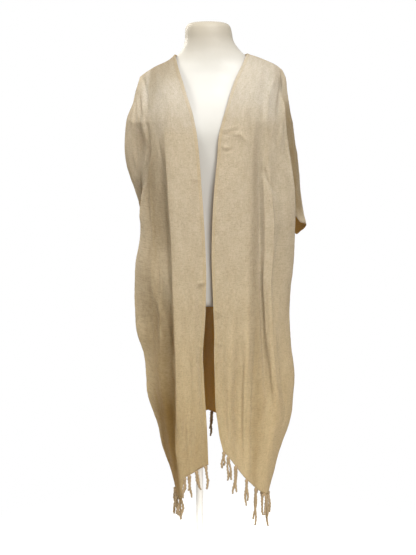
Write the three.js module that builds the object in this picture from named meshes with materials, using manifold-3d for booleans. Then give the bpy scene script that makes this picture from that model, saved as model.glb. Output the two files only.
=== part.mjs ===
// Open-fronted kaftan jacket of thin gauze, hung on a limbless dress form on a stand.
// Millimetres, +Z up, the front faces -Y, origin on the floor under the middle of the base.
// The jacket's walls are surfaces through named fold lines: each line gives, for a few heights,
// its distance out from the centre plane and its depth, and a smooth section joins the lines.

import * as THREE from 'three';
import { mergeVertices } from 'three/addons/utils/BufferGeometryUtils.js';
import Module from 'manifold-3d';

// Cloth walls
const CLOTH = 1.3;
const TURNED_EDGE = 2.4;
const TURNED_WIDTH = 0.16;
const SEAM_GAP = 0.8;
const UNDERARM_GAP = 4.2;
const FOLD_GAP = 0.025;
const GUIDE_STEP = 0.4;
const EDGE_STEPS = { flat: 0.85, thick: 0.9 };

// Heights that the whole jacket shares
const YOKE_FOOT = 1265;
const YOKE_CURVE = 1.75;
const NAPE_CURVE = 1.25;
const NAPE = { depth: 71, height: 1437 };

// Sleeve layers: where their middle lies from tuck to fold, the share of the opening they keep at the
// shoulder, and how far above and below the yoke's foot they open up
const SLEEVE = { middle: 0.52, kept: 0.35, openFrom: -40, openTo: 190 };
// Heights above and below the underarm over which the sleeve goes into the plain section
const JOIN = { above: 10, below: 50 };

// Soft pleats hanging from the chest: depth at the hem, pitch, the heights where they begin and are full,
// and where the cloth hangs flat enough for them, as place and reach, in front and behind
const PLEAT = { depth: 3.2, pitch: 44, start: 1050, full: 520, front: [1.4, 1.3], back: [13.8, 1.5] };

// Fringe
const STRIP_HEIGHT = 6;
const STRIP_DROP = 0.65;
const STRIP_WALL = 2.2;
const STEEPEST = 4;
const STEEPEST_TASSEL = 1.7;
const TASSEL_PITCH = 35;
const STRAND_RADIUS = 2.6;
const STRAND_SIDES = 3;
const STRAND_LEVELS = [0, 0.45, 1];
const STRAND_TAPER = 0.3;
const STRAND_BOW = 1.4;
// Where the roots lie in the strip, from its top; the strands' usual length and how much it varies from
// tassel to tassel and between the two of one; how far their roots are apart and their tips lean out and in
const ROOT_DEPTH = 0.62;
const STRAND = { length: 66, varies: 14, uneven: 5, apart: 1.2, lean: 4.5, leanVaries: 2, inwards: 1.5 };

// Stand
const BASE = { radius: 180, height: 6, bevel: 2 };
const POLE = { x: -22, radius: 9 };
const SOCKET = { radius: 22, height: 34, neck: 13.6, lip: 6, step: 14 };
const FIT_GAP = 0.3;

const COLOUR = { cloth: 0xc9b592, fringe: 0xbfa985, form: 0xf3efe6, stand: 0xf0f0ee };

// Dress form, one row for each level
// columns: height, middle, half width, front depth, back depth, squareness
const FORM_ROWS = [
  [1523, 0, 26, -24, 28, 2.0],
  [1521, 0, 45, -42, 47, 2.0],
  [1514, 0, 56, -53, 58, 2.0],
  [1500, 1, 60, -57, 61, 2.0],
  [1476, 3, 63, -57, 61, 2.0],
  [1455, 6, 74, -57, 62, 1.9],
  [1441, 8, 86, -58, 64, 1.8],
  [1420, 8, 110, -60, 68, 1.75],
  [1404, 8, 142, -62, 72, 1.8],
  [1387, 8, 165, -65, 78, 1.9],
  [1365, 8, 168, -72, 86, 2.0],
  [1330, 8, 163, -85, 97, 2.1],
  [1290, 8, 154, -97, 104, 2.2],
  [1240, 8, 150, -104, 105, 2.2],
  [1190, 8, 140, -99, 99, 2.2],
  [1130, 8, 128, -92, 92, 2.2],
  [1040, 8, 120, -86, 84, 2.2],
  [960, 8, 138, -90, 97, 2.2],
  [880, 8, 160, -98, 109, 2.2],
  [820, 8, 160, -96, 107, 2.2],
  [806, 8, 158, -94, 105, 2.2],
  [800, 8, 152, -90, 100, 2.2],
];
const FORM_SIDES = 32;
const BUST = { apart: 76, height: 1238, rise: 15, spread: 42, tall: 58 };

// Fold lines, top to hem
// columns: height, distance out from the centre plane, depth
const CENTRE_BACK = [
  [YOKE_FOOT, 0, 112], [1130, 0, 111], [1040, 0, 111], [960, 0, 114], [880, 0, 119], [780, 0, 119],
  [600, 0, 118], [484, 0, 116], [300, 0, 112],
];
const SHOULDER_BLADE = [
  [YOKE_FOOT, 92, 112], [1130, 88, 112], [1040, 84, 112], [960, 84, 115], [880, 86, 118], [780, 86, 118],
  [600, 82, 116], [480, 74, 112], [300, 62, 104],
];

const LEFT = {
  hand: -1,
  underarm: 1100,
  sleeveOpening: 11,
  pleatPhase: 2.1,
  neck: { out: 84, height: 1441 },
  // columns: distance out, height
  ridge: [[84, 1441], [103, 1425.5], [136, 1410], [162, 1394], [175, 1384]],
  edge: [
    [1441, 84, 0], [1403, 75, -52], [1365, 63, -75], [1326, 51.5, -94], [1288, 39, -106], [YOKE_FOOT, 34, -110],
    [1232, 27.6, -112], [1172, 21.2, -112], [1120, 17.4, -112], [1050, 12.2, -112], [981, 8, -112],
    [921, 5.2, -112], [883, 4.2, -112], [831, 5.2, -112], [789, 6, -112], [744, 8.7, -112], [712, 11.4, -112],
    [674, 12.9, -112], [640, 10.7, -112], [605, 9.5, -112], [540, 5.2, -112], [483, 1.9, -112], [399, -1.2, -112],
  ],
  bust: [
    [YOKE_FOOT, 78, -120], [1170, 70, -120], [1060, 60, -118], [900, 50, -116], [750, 45, -114], [600, 43, -113],
    [480, 40, -113], [400, 38, -113], [300, 36, -113],
  ],
  panelFold: [
    [YOKE_FOOT, 109, -112], [1158, 103, -114], [1071, 98, -114], [971, 91, -114], [847, 87, -113], [747, 83, -113],
    [650, 81, -113], [573, 80, -113], [499, 78, -113], [424, 76, -113], [350, 70, -113], [300, 64, -113],
  ],
  panelValley: [
    [YOKE_FOOT, 127, -100], [1196, 120, -93], [1158, 114, -88], [1071, 104, -80], [971, 97, -80], [880, 93, -92],
    [820, 91, -86], [747, 87, -70], [650, 85, -60], [573, 84, -58], [499, 82, -60], [424, 79, -66], [350, 73, -80],
    [300, 67, -92],
  ],
  middleRidge: [
    [YOKE_FOOT, 141, -91], [1196, 134, -85], [1158, 132, -78], [1071, 128, -66], [971, 124, -66], [880, 122, -80],
    [820, 122, -74], [747, 123, -62], [650, 121, -52], [573, 118, -48], [499, 108, -44], [424, 98, -46],
    [350, 84, -58], [300, 74, -72],
  ],
  middleValley: [
    [YOKE_FOOT, 152, -85], [1196, 143, -78], [1158, 146, -64], [1071, 148, -44], [971, 142, -52], [880, 145, -64],
    [820, 143, -56], [747, 141, -38], [650, 138, -30], [573, 134, -26], [499, 122, -22], [424, 108, -20],
    [350, 90, -30], [300, 78, -42],
  ],
  sideFold: [
    [YOKE_FOOT, 162, -78], [1196, 152, -66], [1143, 160, -48], [1089, 169, -28], [1058, 172, -18], [1027, 175, -10],
    [967, 176.5, -5], [910, 187, 0], [870, 190, 0], [780, 190, 4], [715, 186, 8], [663, 168, 8], [598, 162, 10],
    [559, 160, 10], [520, 149.5, 12], [468, 131, 14], [429, 123.5, 14], [403, 116, 14], [351, 97.5, 12],
    [312, 87, 8], [282, 80, 5],
  ],
  sideSeam: [
    [YOKE_FOOT, 190, -44], [1196, 184, -34], [1130, 178, -16], [1090, 168, 0], [1040, 160, 18], [960, 166, 30],
    [880, 183, 36], [780, 183, 42], [700, 174, 45], [640, 156, 45], [560, 149, 45], [500, 134, 45], [430, 111, 42],
    [350, 88, 36], [300, 77, 30],
  ],
  backSideFold: [
    [YOKE_FOOT, 180, 70], [1196, 176, 74], [1130, 166, 76], [1040, 145, 74], [960, 152, 78], [880, 170, 80],
    [780, 172, 82], [700, 164, 82], [640, 148, 80], [560, 139, 78], [500, 125, 76], [430, 105, 72], [350, 85, 64],
    [300, 75, 58],
  ],
  backValley: [
    [YOKE_FOOT, 142, 96], [1130, 129, 98], [1040, 118, 98], [960, 122, 102], [880, 130, 105], [780, 130, 105],
    [700, 126, 105], [600, 117, 103], [500, 104, 100], [400, 88, 94], [300, 74, 86],
  ],
  sleeveFold: [
    [1384, 175, 0], [1362, 181, -3], [1346, 186, -5], [1315, 193, -9], [1284, 206, -13], [YOKE_FOOT, 210.5, -15],
    [1216, 214.5, -12], [1185, 214.5, -4], [1154, 210, 6], [1123, 200, 18], [1092, 189, 32], [1060, 179, 44],
    [1020, 171, 56], [900, 168, 62], [300, 160, 60],
  ],
  // columns: height, how far the back layer of the sleeve lies behind the front one at its inner tuck
  tuckDepth: [[YOKE_FOOT, 86], [1196, 68], [1140, 36], [1100, UNDERARM_GAP], [1062, SEAM_GAP], [300, SEAM_GAP]],
  // columns: place along the section, height of the lower edge there
  hem: [
    [0, 402], [1, 381], [1.55, 366], [1.8, 338], [2, 312], [3, 304], [4, 302], [5, 303], [6, 306], [7, 318],
    [11, 318], [12, 352], [13, 404], [14, 455], [15, 484],
  ],
  mouth: [[0, 1100], [7, 1100], [7.5, 1074], [8, 1054], [9, 1028], [10, 1036], [10.5, 1066], [11, 1100], [15, 1100]],
};

const RIGHT = {
  hand: 1,
  underarm: 1120,
  sleeveOpening: 21,
  pleatPhase: 0.6,
  neck: { out: 100, height: 1443 },
  ridge: [[100, 1443], [124, 1436], [152, 1425], [175, 1414], [190, 1403]],
  edge: [
    [1443, 100, 0], [1411, 87, -46], [1378, 71, -68], [1346, 59, -84], [1305, 47, -100], [YOKE_FOOT, 35, -110],
    [1225, 26, -112], [1172, 22.7, -112], [1120, 17.4, -112], [1050, 12.2, -112], [981, 9.5, -112],
    [921, 8.7, -112], [806, 13, -112], [727, 15.7, -112], [692, 14.9, -112], [622, 16.4, -112], [588, 17.4, -112],
    [545, 19.2, -112], [506, 24.4, -112], [473, 29, -112], [436, 38, -112], [400, 42, -112], [300, 48, -112],
  ],
  bust: [
    [YOKE_FOOT, 80, -120], [1170, 78, -120], [1060, 72, -118], [900, 68, -115], [750, 66, -114], [600, 68, -113],
    [480, 74, -113], [400, 78, -113], [300, 82, -113],
  ],
  panelFold: [
    [YOKE_FOOT, 112, -114], [1170, 110, -113], [1060, 108, -111], [900, 106, -110], [750, 108, -109],
    [600, 112, -109], [480, 112, -110], [400, 110, -110], [300, 108, -110],
  ],
  panelValley: [
    [YOKE_FOOT, 131, -106], [1195, 126, -98], [1070, 129, -90], [945, 131.5, -85], [860, 133, -85], [820, 135, -83],
    [719, 139, -82], [619, 145, -84], [549, 149, -90], [450, 140, -98], [380, 130, -102], [300, 124, -104],
  ],
  middleRidge: [
    [YOKE_FOOT, 150, -99], [1170, 148, -97], [1107, 152, -95], [1019, 159, -92], [944, 160, -89], [860, 151, -91],
    [791, 154, -91], [719, 158, -91], [619, 166, -91], [549, 174, -90], [450, 160, -97], [380, 146, -101],
    [300, 136, -103],
  ],
  middleValley: [
    [YOKE_FOOT, 168, -90], [1170, 166, -86], [1107, 170, -82], [1019, 178, -76], [968, 176, -71], [862, 170, -68],
    [791, 173, -66], [720, 176, -64], [667, 180, -64], [597, 188, -61], [561, 194, -59], [520, 198, -60],
    [480, 188, -68], [400, 164, -88], [300, 144, -99],
  ],
  sideFold: [
    [YOKE_FOOT, 193, -62], [1208, 200, -60], [1144, 210, -56], [1093, 217.5, -51], [1037, 222.5, -45],
    [972, 222, -38], [913, 219, -35], [873, 216, -32], [835, 212, -30], [771, 210, -28], [695, 214, -28],
    [625, 223, -30], [592, 223, -32], [553, 220, -34], [515, 216, -37], [477, 206, -44], [446, 192, -54],
    [413, 180, -62], [377, 170, -70], [349, 162, -76], [317, 154, -80], [290, 149, -82],
  ],
  sideSeam: [
    [YOKE_FOOT, 200, -22], [1196, 198, -14], [1120, 197, -4], [1060, 201, 4], [1000, 205, 12], [960, 207, 18],
    [880, 206, 24], [780, 201, 25], [700, 204, 25], [620, 212, 25], [560, 206, 26], [500, 192, 28], [440, 172, 30],
    [380, 152, 30], [330, 140, 28], [290, 134, 26],
  ],
  backSideFold: [
    [YOKE_FOOT, 192, 66], [1196, 192, 66], [1120, 187, 66], [1005, 184, 65], [900, 185, 67], [780, 184, 69],
    [700, 188, 70], [620, 195, 70], [560, 189, 72], [500, 176, 74], [440, 158, 76], [380, 140, 76], [330, 128, 74],
    [290, 120, 70],
  ],
  backValley: [
    [YOKE_FOOT, 150, 96], [1120, 146, 98], [900, 141, 104], [780, 140, 106], [620, 146, 106], [500, 134, 103],
    [400, 112, 98], [300, 94, 90],
  ],
  sleeveFold: [
    [1403, 190, 0], [1393, 196, 1], [1378, 201, 2], [1346, 204, 4], [1315, 209, 6], [1284, 214.5, 9],
    [YOKE_FOOT, 219, 11], [1216, 226, 16], [1185, 232, 18], [1154, 235, 20], [1123, 238, 22], [1092, 240.5, 24],
    [1060, 245.5, 26], [1029, 251, 26], [998, 258, 25], [900, 262, 25], [300, 220, 25],
  ],
  tuckDepth: [[YOKE_FOOT, 66], [1196, 50], [1160, 30], [1120, UNDERARM_GAP], [1082, SEAM_GAP], [290, SEAM_GAP]],
  hem: [
    [0, 436], [0.4, 417], [1, 386], [2, 352], [3, 335], [4, 326], [5, 321], [6, 317], [7, 324], [11, 324],
    [12, 350], [13, 400], [14, 452], [15, 484],
  ],
  mouth: [
    [0, 1120], [7, 1120], [7.5, 1045], [8, 1012], [8.5, 1004], [9, 998], [9.5, 984], [10, 976], [10.5, 1030],
    [11, 1120], [15, 1120],
  ],
};

// Order of the fold lines round one half of the section, with the sleeve's two layers between
const PLACE = { edge: 0, sideSeam: 7, sleeveFold: 9, backTuck: 11, blade: 14, centreBack: 15 };

// Value of a column of a table at height `at`, on a smooth curve through the rows.
function column(rows, at, index) {
  const falling = rows[0][0] > rows[rows.length - 1][0];
  let row = 0;
  while (row < rows.length - 2 && (falling ? rows[row + 1][0] > at : rows[row + 1][0] < at)) row += 1;
  const [low, high] = [rows[row], rows[row + 1]];
  const span = high[0] - low[0];
  const t = THREE.MathUtils.clamp((at - low[0]) / span, 0, 1);
  const slope = (k) => {
    const before = rows[Math.max(k - 1, 0)];
    const after = rows[Math.min(k + 1, rows.length - 1)];
    return ((after[index] - before[index]) / (after[0] - before[0])) * span;
  };
  const [a, b] = [low[index], high[index]];
  return (
    a * (1 + 2 * t) * (1 - t) ** 2 + slope(row) * t * (1 - t) ** 2
    + b * t * t * (3 - 2 * t) + slope(row + 1) * t * t * (t - 1)
  );
}

function linePoint(rows, height) {
  return new THREE.Vector3(column(rows, height, 1), column(rows, height, 2), 0);
}

// The sleeve's layer between its tuck and its outer fold, pushed apart to hold the sleeve open.
function sleeveLayer(side, tuck, fold, height, outwards) {
  const opened = THREE.MathUtils.smoothstep(YOKE_FOOT - height, SLEEVE.openFrom, SLEEVE.openTo);
  const along = fold.clone().sub(tuck).normalize();
  const push = side.sleeveOpening * THREE.MathUtils.lerp(SLEEVE.kept, 1, opened) * outwards;
  return tuck.clone().lerp(fold, SLEEVE.middle).add(new THREE.Vector3(along.y, -along.x, 0).multiplyScalar(push));
}

// Half of the jacket's section at one height, from the front edge round to the centre back.
function sectionPoint(side, height, place) {
  const front = [
    side.edge, side.bust, side.panelFold, side.panelValley, side.middleRidge, side.middleValley, side.sideFold,
  ].map((rows) => linePoint(rows, height));
  const seam = linePoint(side.sideSeam, height);
  const fold = linePoint(side.sleeveFold, height);
  const tuck = seam.clone();
  tuck.y += column(side.tuckDepth, height, 1);
  const back = [side.backSideFold, side.backValley, SHOULDER_BLADE, CENTRE_BACK].map((rows) => linePoint(rows, height));
  const beyond = back[2].clone().setX(-back[2].x);
  const sleeve = [sleeveLayer(side, seam, fold, height, 1), fold, sleeveLayer(side, tuck, fold, height, -1)];

  const withSleeve = curveAt([...front, seam, ...sleeve, tuck, ...back, beyond], place);
  if (place > PLACE.sideSeam && place < PLACE.backTuck) return withSleeve;
  const inFront = place <= PLACE.sideSeam;
  const plain = inFront
    ? curveAt([...front, seam, ...back, beyond], place)
    : curveAt([...front, tuck, ...back, beyond], place - 4);
  const below = THREE.MathUtils.smoothstep(side.underarm - height, -JOIN.above, JOIN.below);
  return withSleeve.lerp(plain, below);
}

function curveAt(points, place) {
  const curve = new THREE.CatmullRomCurve3(points, false, 'centripetal');
  return curve.getPoint(place / (points.length - 1));
}

// Soft pleats that deepen towards the hem, only on the flat of the front and of the back.
function pleatAt(side, x, height, place) {
  const grown = THREE.MathUtils.smoothstep(PLEAT.start - height, 0, PLEAT.start - PLEAT.full);
  const flat = Math.max(bump(place, ...PLEAT.front), bump(place, ...PLEAT.back));
  return PLEAT.depth * grown * flat * Math.sin((2 * Math.PI * x) / PLEAT.pitch + side.pleatPhase);
}

function bump(value, middle, reach) {
  return Math.exp(-(((value - middle) / reach) ** 2));
}

// Point of the hanging cloth below the yoke.
function hangingPoint(side, height, place) {
  const point = sectionPoint(side, height, place);
  point.y -= pleatAt(side, point.x, height, place);
  return new THREE.Vector3(side.hand * point.x, point.y, height);
}

// Point of the yoke: a rounded arc from the shoulder ridge, or the nape, down to the hanging cloth.
// `drop` runs from 0 at the ridge to 1 at the yoke's foot.
function yokePoint(side, drop, place) {
  const foot = sectionPoint(side, YOKE_FOOT, place);
  const sleeve = linePoint(side.sleeveFold, YOKE_FOOT).x;
  const tip = side.ridge[side.ridge.length - 1];
  const inFront = place <= PLACE.sleeveFold;
  const innerFoot = inFront ? linePoint(side.edge, YOKE_FOOT).x : linePoint(SHOULDER_BLADE, YOKE_FOOT).x;
  const nape = !inFront && foot.x < innerFoot;
  const across = nape ? 0 : THREE.MathUtils.clamp((foot.x - innerFoot) / (sleeve - innerFoot), 0, 1);
  const behind = nape ? foot.x / innerFoot : 1;

  const curve = nape ? THREE.MathUtils.lerp(NAPE_CURVE, YOKE_CURVE, behind ** 2) : YOKE_CURVE;
  const angle = (drop * Math.PI) / 2;
  const fall = Math.cos(angle) ** (2 / curve);
  const reach = Math.sin(angle) ** (2 / curve);

  const topOut = THREE.MathUtils.lerp(side.neck.out, tip[0], across);
  const topHeight = nape
    ? THREE.MathUtils.lerp(NAPE.height, side.neck.height, behind ** 2)
    : column(side.ridge, topOut, 1);
  const topDepth = nape ? NAPE.depth * Math.sqrt(Math.max(0, 1 - behind ** 2)) : 0;
  const height = YOKE_FOOT + (topHeight - YOKE_FOOT) * fall;
  const innerHeight = YOKE_FOOT + (side.neck.height - YOKE_FOOT) * fall;
  const outerHeight = YOKE_FOOT + (tip[1] - YOKE_FOOT) * fall;
  const inner = inFront
    ? column(side.edge, innerHeight, 1)
    : THREE.MathUtils.lerp(side.neck.out, innerFoot, 1 - fall);
  const outer = column(side.sleeveFold, outerHeight, 1);
  const x = nape ? inner * behind : THREE.MathUtils.lerp(inner, outer, across);
  return new THREE.Vector3(side.hand * x, topDepth + (foot.y - topDepth) * reach, height);
}

// Rows of the cloth from the ridge to the hem: yoke rows, rows down to the sleeve mouth, rows to the hem.
const ROWS = { yoke: 7, mouth: 5, hem: 16 };
const MOUTH_ROW = ROWS.yoke + ROWS.mouth;
const HEM_ROW = MOUTH_ROW + ROWS.hem;

function clothPoint(side, row, place) {
  if (row < ROWS.yoke) return yokePoint(side, row / ROWS.yoke, place);
  const mouth = column(side.mouth, place, 1);
  const hem = column(side.hem, place, 1);
  const height = row <= MOUTH_ROW
    ? THREE.MathUtils.lerp(YOKE_FOOT, mouth, (row - ROWS.yoke) / ROWS.mouth)
    : THREE.MathUtils.lerp(mouth, hem, (row - MOUTH_ROW) / ROWS.hem);
  return hangingPoint(side, height, place);
}

// Places along the section: `steps` even steps between neighbouring fold lines from `first`.
function placesFrom(first, steps) {
  const places = [first];
  steps.forEach((count, index) => {
    for (let step = 1; step <= count; step += 1) places.push(first + index + step / count);
  });
  return places;
}

// Closed wall between a grid of outer points and the same grid moved in by the wall's thickness.
// `open(row, column)` says which cells of the grid are cloth. `guide(row, column)` names cells past
// an edge that only help to aim the wall there, so that two walls meet squarely on a sharp fold.
// `ridge(column)` names the columns that start on the shoulder seam, where the wall goes straight down.
function wallGeometry(grid, { thickness, open, guide = () => false, ridge = () => false }) {
  const [rows, columns] = [grid.length, grid[0].length];
  const isCloth = (r, c) => r >= 0 && c >= 0 && r < rows - 1 && c < columns - 1 && open(r, c);
  const normals = grid.map((line) => line.map(() => new THREE.Vector3()));
  const cells = [];
  const aimed = [];
  for (let r = 0; r < rows - 1; r += 1) {
    for (let c = 0; c < columns - 1; c += 1) {
      if (isCloth(r, c)) cells.push([r, c]);
      if (isCloth(r, c) || guide(r, c)) aimed.push([r, c]);
    }
  }
  for (const [r, c] of aimed) {
    const across = grid[r + 1][c + 1].clone().sub(grid[r][c]);
    const down = grid[r + 1][c].clone().sub(grid[r][c + 1]);
    const face = across.cross(down).normalize();
    for (const [i, j] of [[r, c], [r + 1, c], [r, c + 1], [r + 1, c + 1]]) normals[i][j].add(face);
  }
  normals[0].forEach((normal, c) => {
    if (ridge(c)) normal.setY(0);
  });
  const numbers = new Map();
  const positions = [];
  const vertex = (r, c, inner) => {
    const key = `${r},${c},${inner}`;
    if (!numbers.has(key)) {
      const point = grid[r][c].clone();
      if (inner) point.addScaledVector(normals[r][c].normalize(), -thickness(r, c));
      numbers.set(key, positions.length / 3);
      positions.push(point.x, point.y, point.z);
    }
    return numbers.get(key);
  };
  const triangles = [];
  const quad = (a, b, c, d) => triangles.push(a, b, c, a, c, d);
  for (const [r, c] of cells) {
    quad(vertex(r, c, 0), vertex(r + 1, c, 0), vertex(r + 1, c + 1, 0), vertex(r, c + 1, 0));
    quad(vertex(r, c, 1), vertex(r, c + 1, 1), vertex(r + 1, c + 1, 1), vertex(r + 1, c, 1));
    const rim = (r1, c1, r2, c2) => quad(vertex(r1, c1, 0), vertex(r2, c2, 0), vertex(r2, c2, 1), vertex(r1, c1, 1));
    if (!isCloth(r - 1, c)) rim(r, c, r, c + 1);
    if (!isCloth(r + 1, c)) rim(r + 1, c + 1, r + 1, c);
    if (!isCloth(r, c - 1)) rim(r + 1, c, r, c);
    if (!isCloth(r, c + 1)) rim(r, c + 1, r + 1, c + 1);
  }
  return closedGeometry(positions, triangles);
}

// Indexed geometry whose faces point out: turned round if its volume comes out negative.
function closedGeometry(positions, triangles) {
  let volume = 0;
  const corner = (index) => new THREE.Vector3().fromArray(positions, index * 3);
  for (let t = 0; t < triangles.length; t += 3) {
    const [a, b, c] = [corner(triangles[t]), corner(triangles[t + 1]), corner(triangles[t + 2])];
    volume += a.dot(b.cross(c));
  }
  if (volume < 0) {
    for (let t = 0; t < triangles.length; t += 3) {
      [triangles[t + 1], triangles[t + 2]] = [triangles[t + 2], triangles[t + 1]];
    }
  }
  const geometry = new THREE.BufferGeometry();
  geometry.setAttribute('position', new THREE.Float32BufferAttribute(positions, 3));
  geometry.setIndex(triangles);
  return geometry;
}

const FRONT_STEPS = [3, 3, 3, 2, 2, 3, 3, 2, 2];
const BACK_STEPS = [2, 2, 3, 3, 2, 4];

// A front: from the turned front edge round to the side seam, and to the sleeve's fold above its mouth.
function frontGeometry(side) {
  const places = placesFrom(PLACE.edge, FRONT_STEPS);
  places[places.length - 1] -= FOLD_GAP;
  places.push(PLACE.sleeveFold + GUIDE_STEP);
  places.splice(1, 0, TURNED_WIDTH * EDGE_STEPS.flat, TURNED_WIDTH);
  const grid = [];
  for (let row = 0; row <= HEM_ROW; row += 1) grid.push(places.map((place) => clothPoint(side, row, place)));
  const thickness = (row, c) => (places[c] < TURNED_WIDTH * EDGE_STEPS.thick ? TURNED_EDGE : CLOTH);
  const beyond = (c) => places[c + 1] > PLACE.sleeveFold;
  const open = (row, c) => !beyond(c) && (places[c] < PLACE.sideSeam || row < MOUTH_ROW);
  const guide = (row, c) => beyond(c) && row < MOUTH_ROW;
  return wallGeometry(grid, { thickness, open, guide, ridge: () => true });
}

// The back: from one sleeve's fold round the centre back to the other's, in one piece.
function backGeometry() {
  const places = placesFrom(PLACE.sleeveFold, BACK_STEPS);
  places[0] += FOLD_GAP;
  places.unshift(PLACE.sleeveFold - GUIDE_STEP);
  const columns = [
    ...places.map((place) => ({ side: LEFT, place })),
    ...places.slice(0, -1).reverse().map((place) => ({ side: RIGHT, place })),
  ];
  const grid = [];
  for (let row = 0; row <= HEM_ROW; row += 1) {
    grid.push(columns.map(({ side, place }) => behindSeam(clothPoint(side, row, place))));
  }
  const nearest = (c) => Math.min(columns[c].place, columns[c + 1].place);
  const beyond = (c) => nearest(c) < PLACE.sleeveFold;
  const open = (row, c) => !beyond(c) && (nearest(c) >= PLACE.backTuck || row < MOUTH_ROW);
  const guide = (row, c) => beyond(c) && row < MOUTH_ROW;
  const ridge = (c) => columns[c].place < PLACE.blade;
  return wallGeometry(grid, { thickness: () => CLOTH, open, guide, ridge });
}

function behindSeam(point) {
  return point.add(new THREE.Vector3(0, SEAM_GAP, 0));
}

// How steeply the hem climbs at a place along it, as rise over run.
function hemSteepness(side, place) {
  const [before, after] = [Math.max(place - 0.05, 0), Math.min(place + 0.05, PLACE.centreBack)];
  const [from, to] = [before, after].map((at) => hangingPoint(side, column(side.hem, at, 1), at));
  return Math.min(Math.abs(from.z - to.z) / Math.hypot(from.x - to.x, from.y - to.y), STEEPEST);
}

// Backing strip of a fringe: a narrow band just under the hem, on the same section.
function stripGrid(columns, back) {
  return [STRIP_DROP, STRIP_DROP + STRIP_HEIGHT].map((drop) => columns.map(({ side, place }) => {
    const slant = Math.hypot(1, hemSteepness(side, place));
    const point = hangingPoint(side, column(side.hem, place, 1) - drop * slant, place);
    return back ? behindSeam(point) : point;
  }));
}

// One strand: a thin three-sided tapering tube from its root in the strip to its tip.
function strandGeometry(root, lean, length) {
  const positions = [];
  const triangles = [];
  STRAND_LEVELS.forEach((level) => {
    const radius = STRAND_RADIUS * (1 - STRAND_TAPER * level);
    const sway = lean.clone().multiplyScalar(level ** STRAND_BOW);
    for (let k = 0; k < STRAND_SIDES; k += 1) {
      const angle = (2 * Math.PI * k) / STRAND_SIDES;
      positions.push(
        root.x + sway.x + radius * Math.cos(angle),
        root.y + sway.y + radius * Math.sin(angle),
        root.z - length * level,
      );
    }
  });
  for (let level = 0; level < STRAND_LEVELS.length - 1; level += 1) {
    for (let k = 0; k < STRAND_SIDES; k += 1) {
      const [a, b] = [level * STRAND_SIDES + k, level * STRAND_SIDES + ((k + 1) % STRAND_SIDES)];
      triangles.push(a, a + STRAND_SIDES, b + STRAND_SIDES, a, b + STRAND_SIDES, b);
    }
  }
  const last = (STRAND_LEVELS.length - 1) * STRAND_SIDES;
  triangles.push(0, 1, 2, last, last + 2, last + 1);
  return closedGeometry(positions, triangles);
}

const manifoldKit = await Module();
manifoldKit.setup();

function toSolid(geometry) {
  const merged = mergeVertices(geometry, 1e-4);
  return new manifoldKit.Manifold(new manifoldKit.Mesh({
    numProp: 3,
    vertProperties: new Float32Array(merged.attributes.position.array),
    triVerts: new Uint32Array(merged.index.array),
  }));
}

function toGeometry(solid) {
  const mesh = solid.getMesh();
  const geometry = new THREE.BufferGeometry();
  geometry.setAttribute('position', new THREE.Float32BufferAttribute(mesh.vertProperties, 3));
  geometry.setIndex(Array.from(mesh.triVerts));
  return geometry;
}

// Fringe along one hem: knotted pairs of strands every few centimetres, their roots in one strip.
function fringeGeometry(columns, back, outwards) {
  const grid = stripGrid(columns, back);
  let solid = toSolid(wallGeometry(grid, { thickness: () => STRIP_WALL, open: () => true }));
  const line = new THREE.CatmullRomCurve3(grid[0].map((top, c) => top.clone().lerp(grid[1][c], ROOT_DEPTH)));
  const length = line.getLength();
  const tassels = Math.max(2, Math.round(length / TASSEL_PITCH));
  for (let k = 0; k < tassels; k += 1) {
    const root = line.getPointAt((k + 0.5) / tassels);
    const heading = line.getTangentAt((k + 0.5) / tassels);
    if (Math.abs(heading.z) > STEEPEST_TASSEL * Math.hypot(heading.x, heading.y)) continue;
    const along = heading.setZ(0).normalize();
    const inwards = new THREE.Vector3(-along.y, along.x, 0).multiplyScalar(outwards);
    root.addScaledVector(inwards, STRIP_WALL / 2);
    for (const twin of [-1, 1]) {
      const drop = STRAND.length + STRAND.varies * Math.sin(2.3 * k + twin) + STRAND.uneven * twin;
      const lean = along.clone().multiplyScalar(twin * (STRAND.lean + STRAND.leanVaries * Math.sin(1.7 * k)))
        .addScaledVector(inwards, -STRAND.inwards * twin);
      const start = root.clone().addScaledVector(along, twin * STRAND.apart);
      solid = solid.add(toSolid(strandGeometry(start, lean, drop)));
    }
  }
  return toGeometry(solid);
}

function frontFringe(side) {
  const columns = placesFrom(PLACE.edge, FRONT_STEPS.slice(0, PLACE.sideSeam)).map((place) => ({ side, place }));
  return fringeGeometry(columns, false, side.hand);
}

function backFringe() {
  const places = placesFrom(PLACE.backTuck, BACK_STEPS.slice(2));
  const columns = [
    ...places.map((place) => ({ side: LEFT, place })),
    ...places.slice(0, -1).reverse().map((place) => ({ side: RIGHT, place })),
  ];
  return fringeGeometry(columns, true, -1);
}

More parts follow.
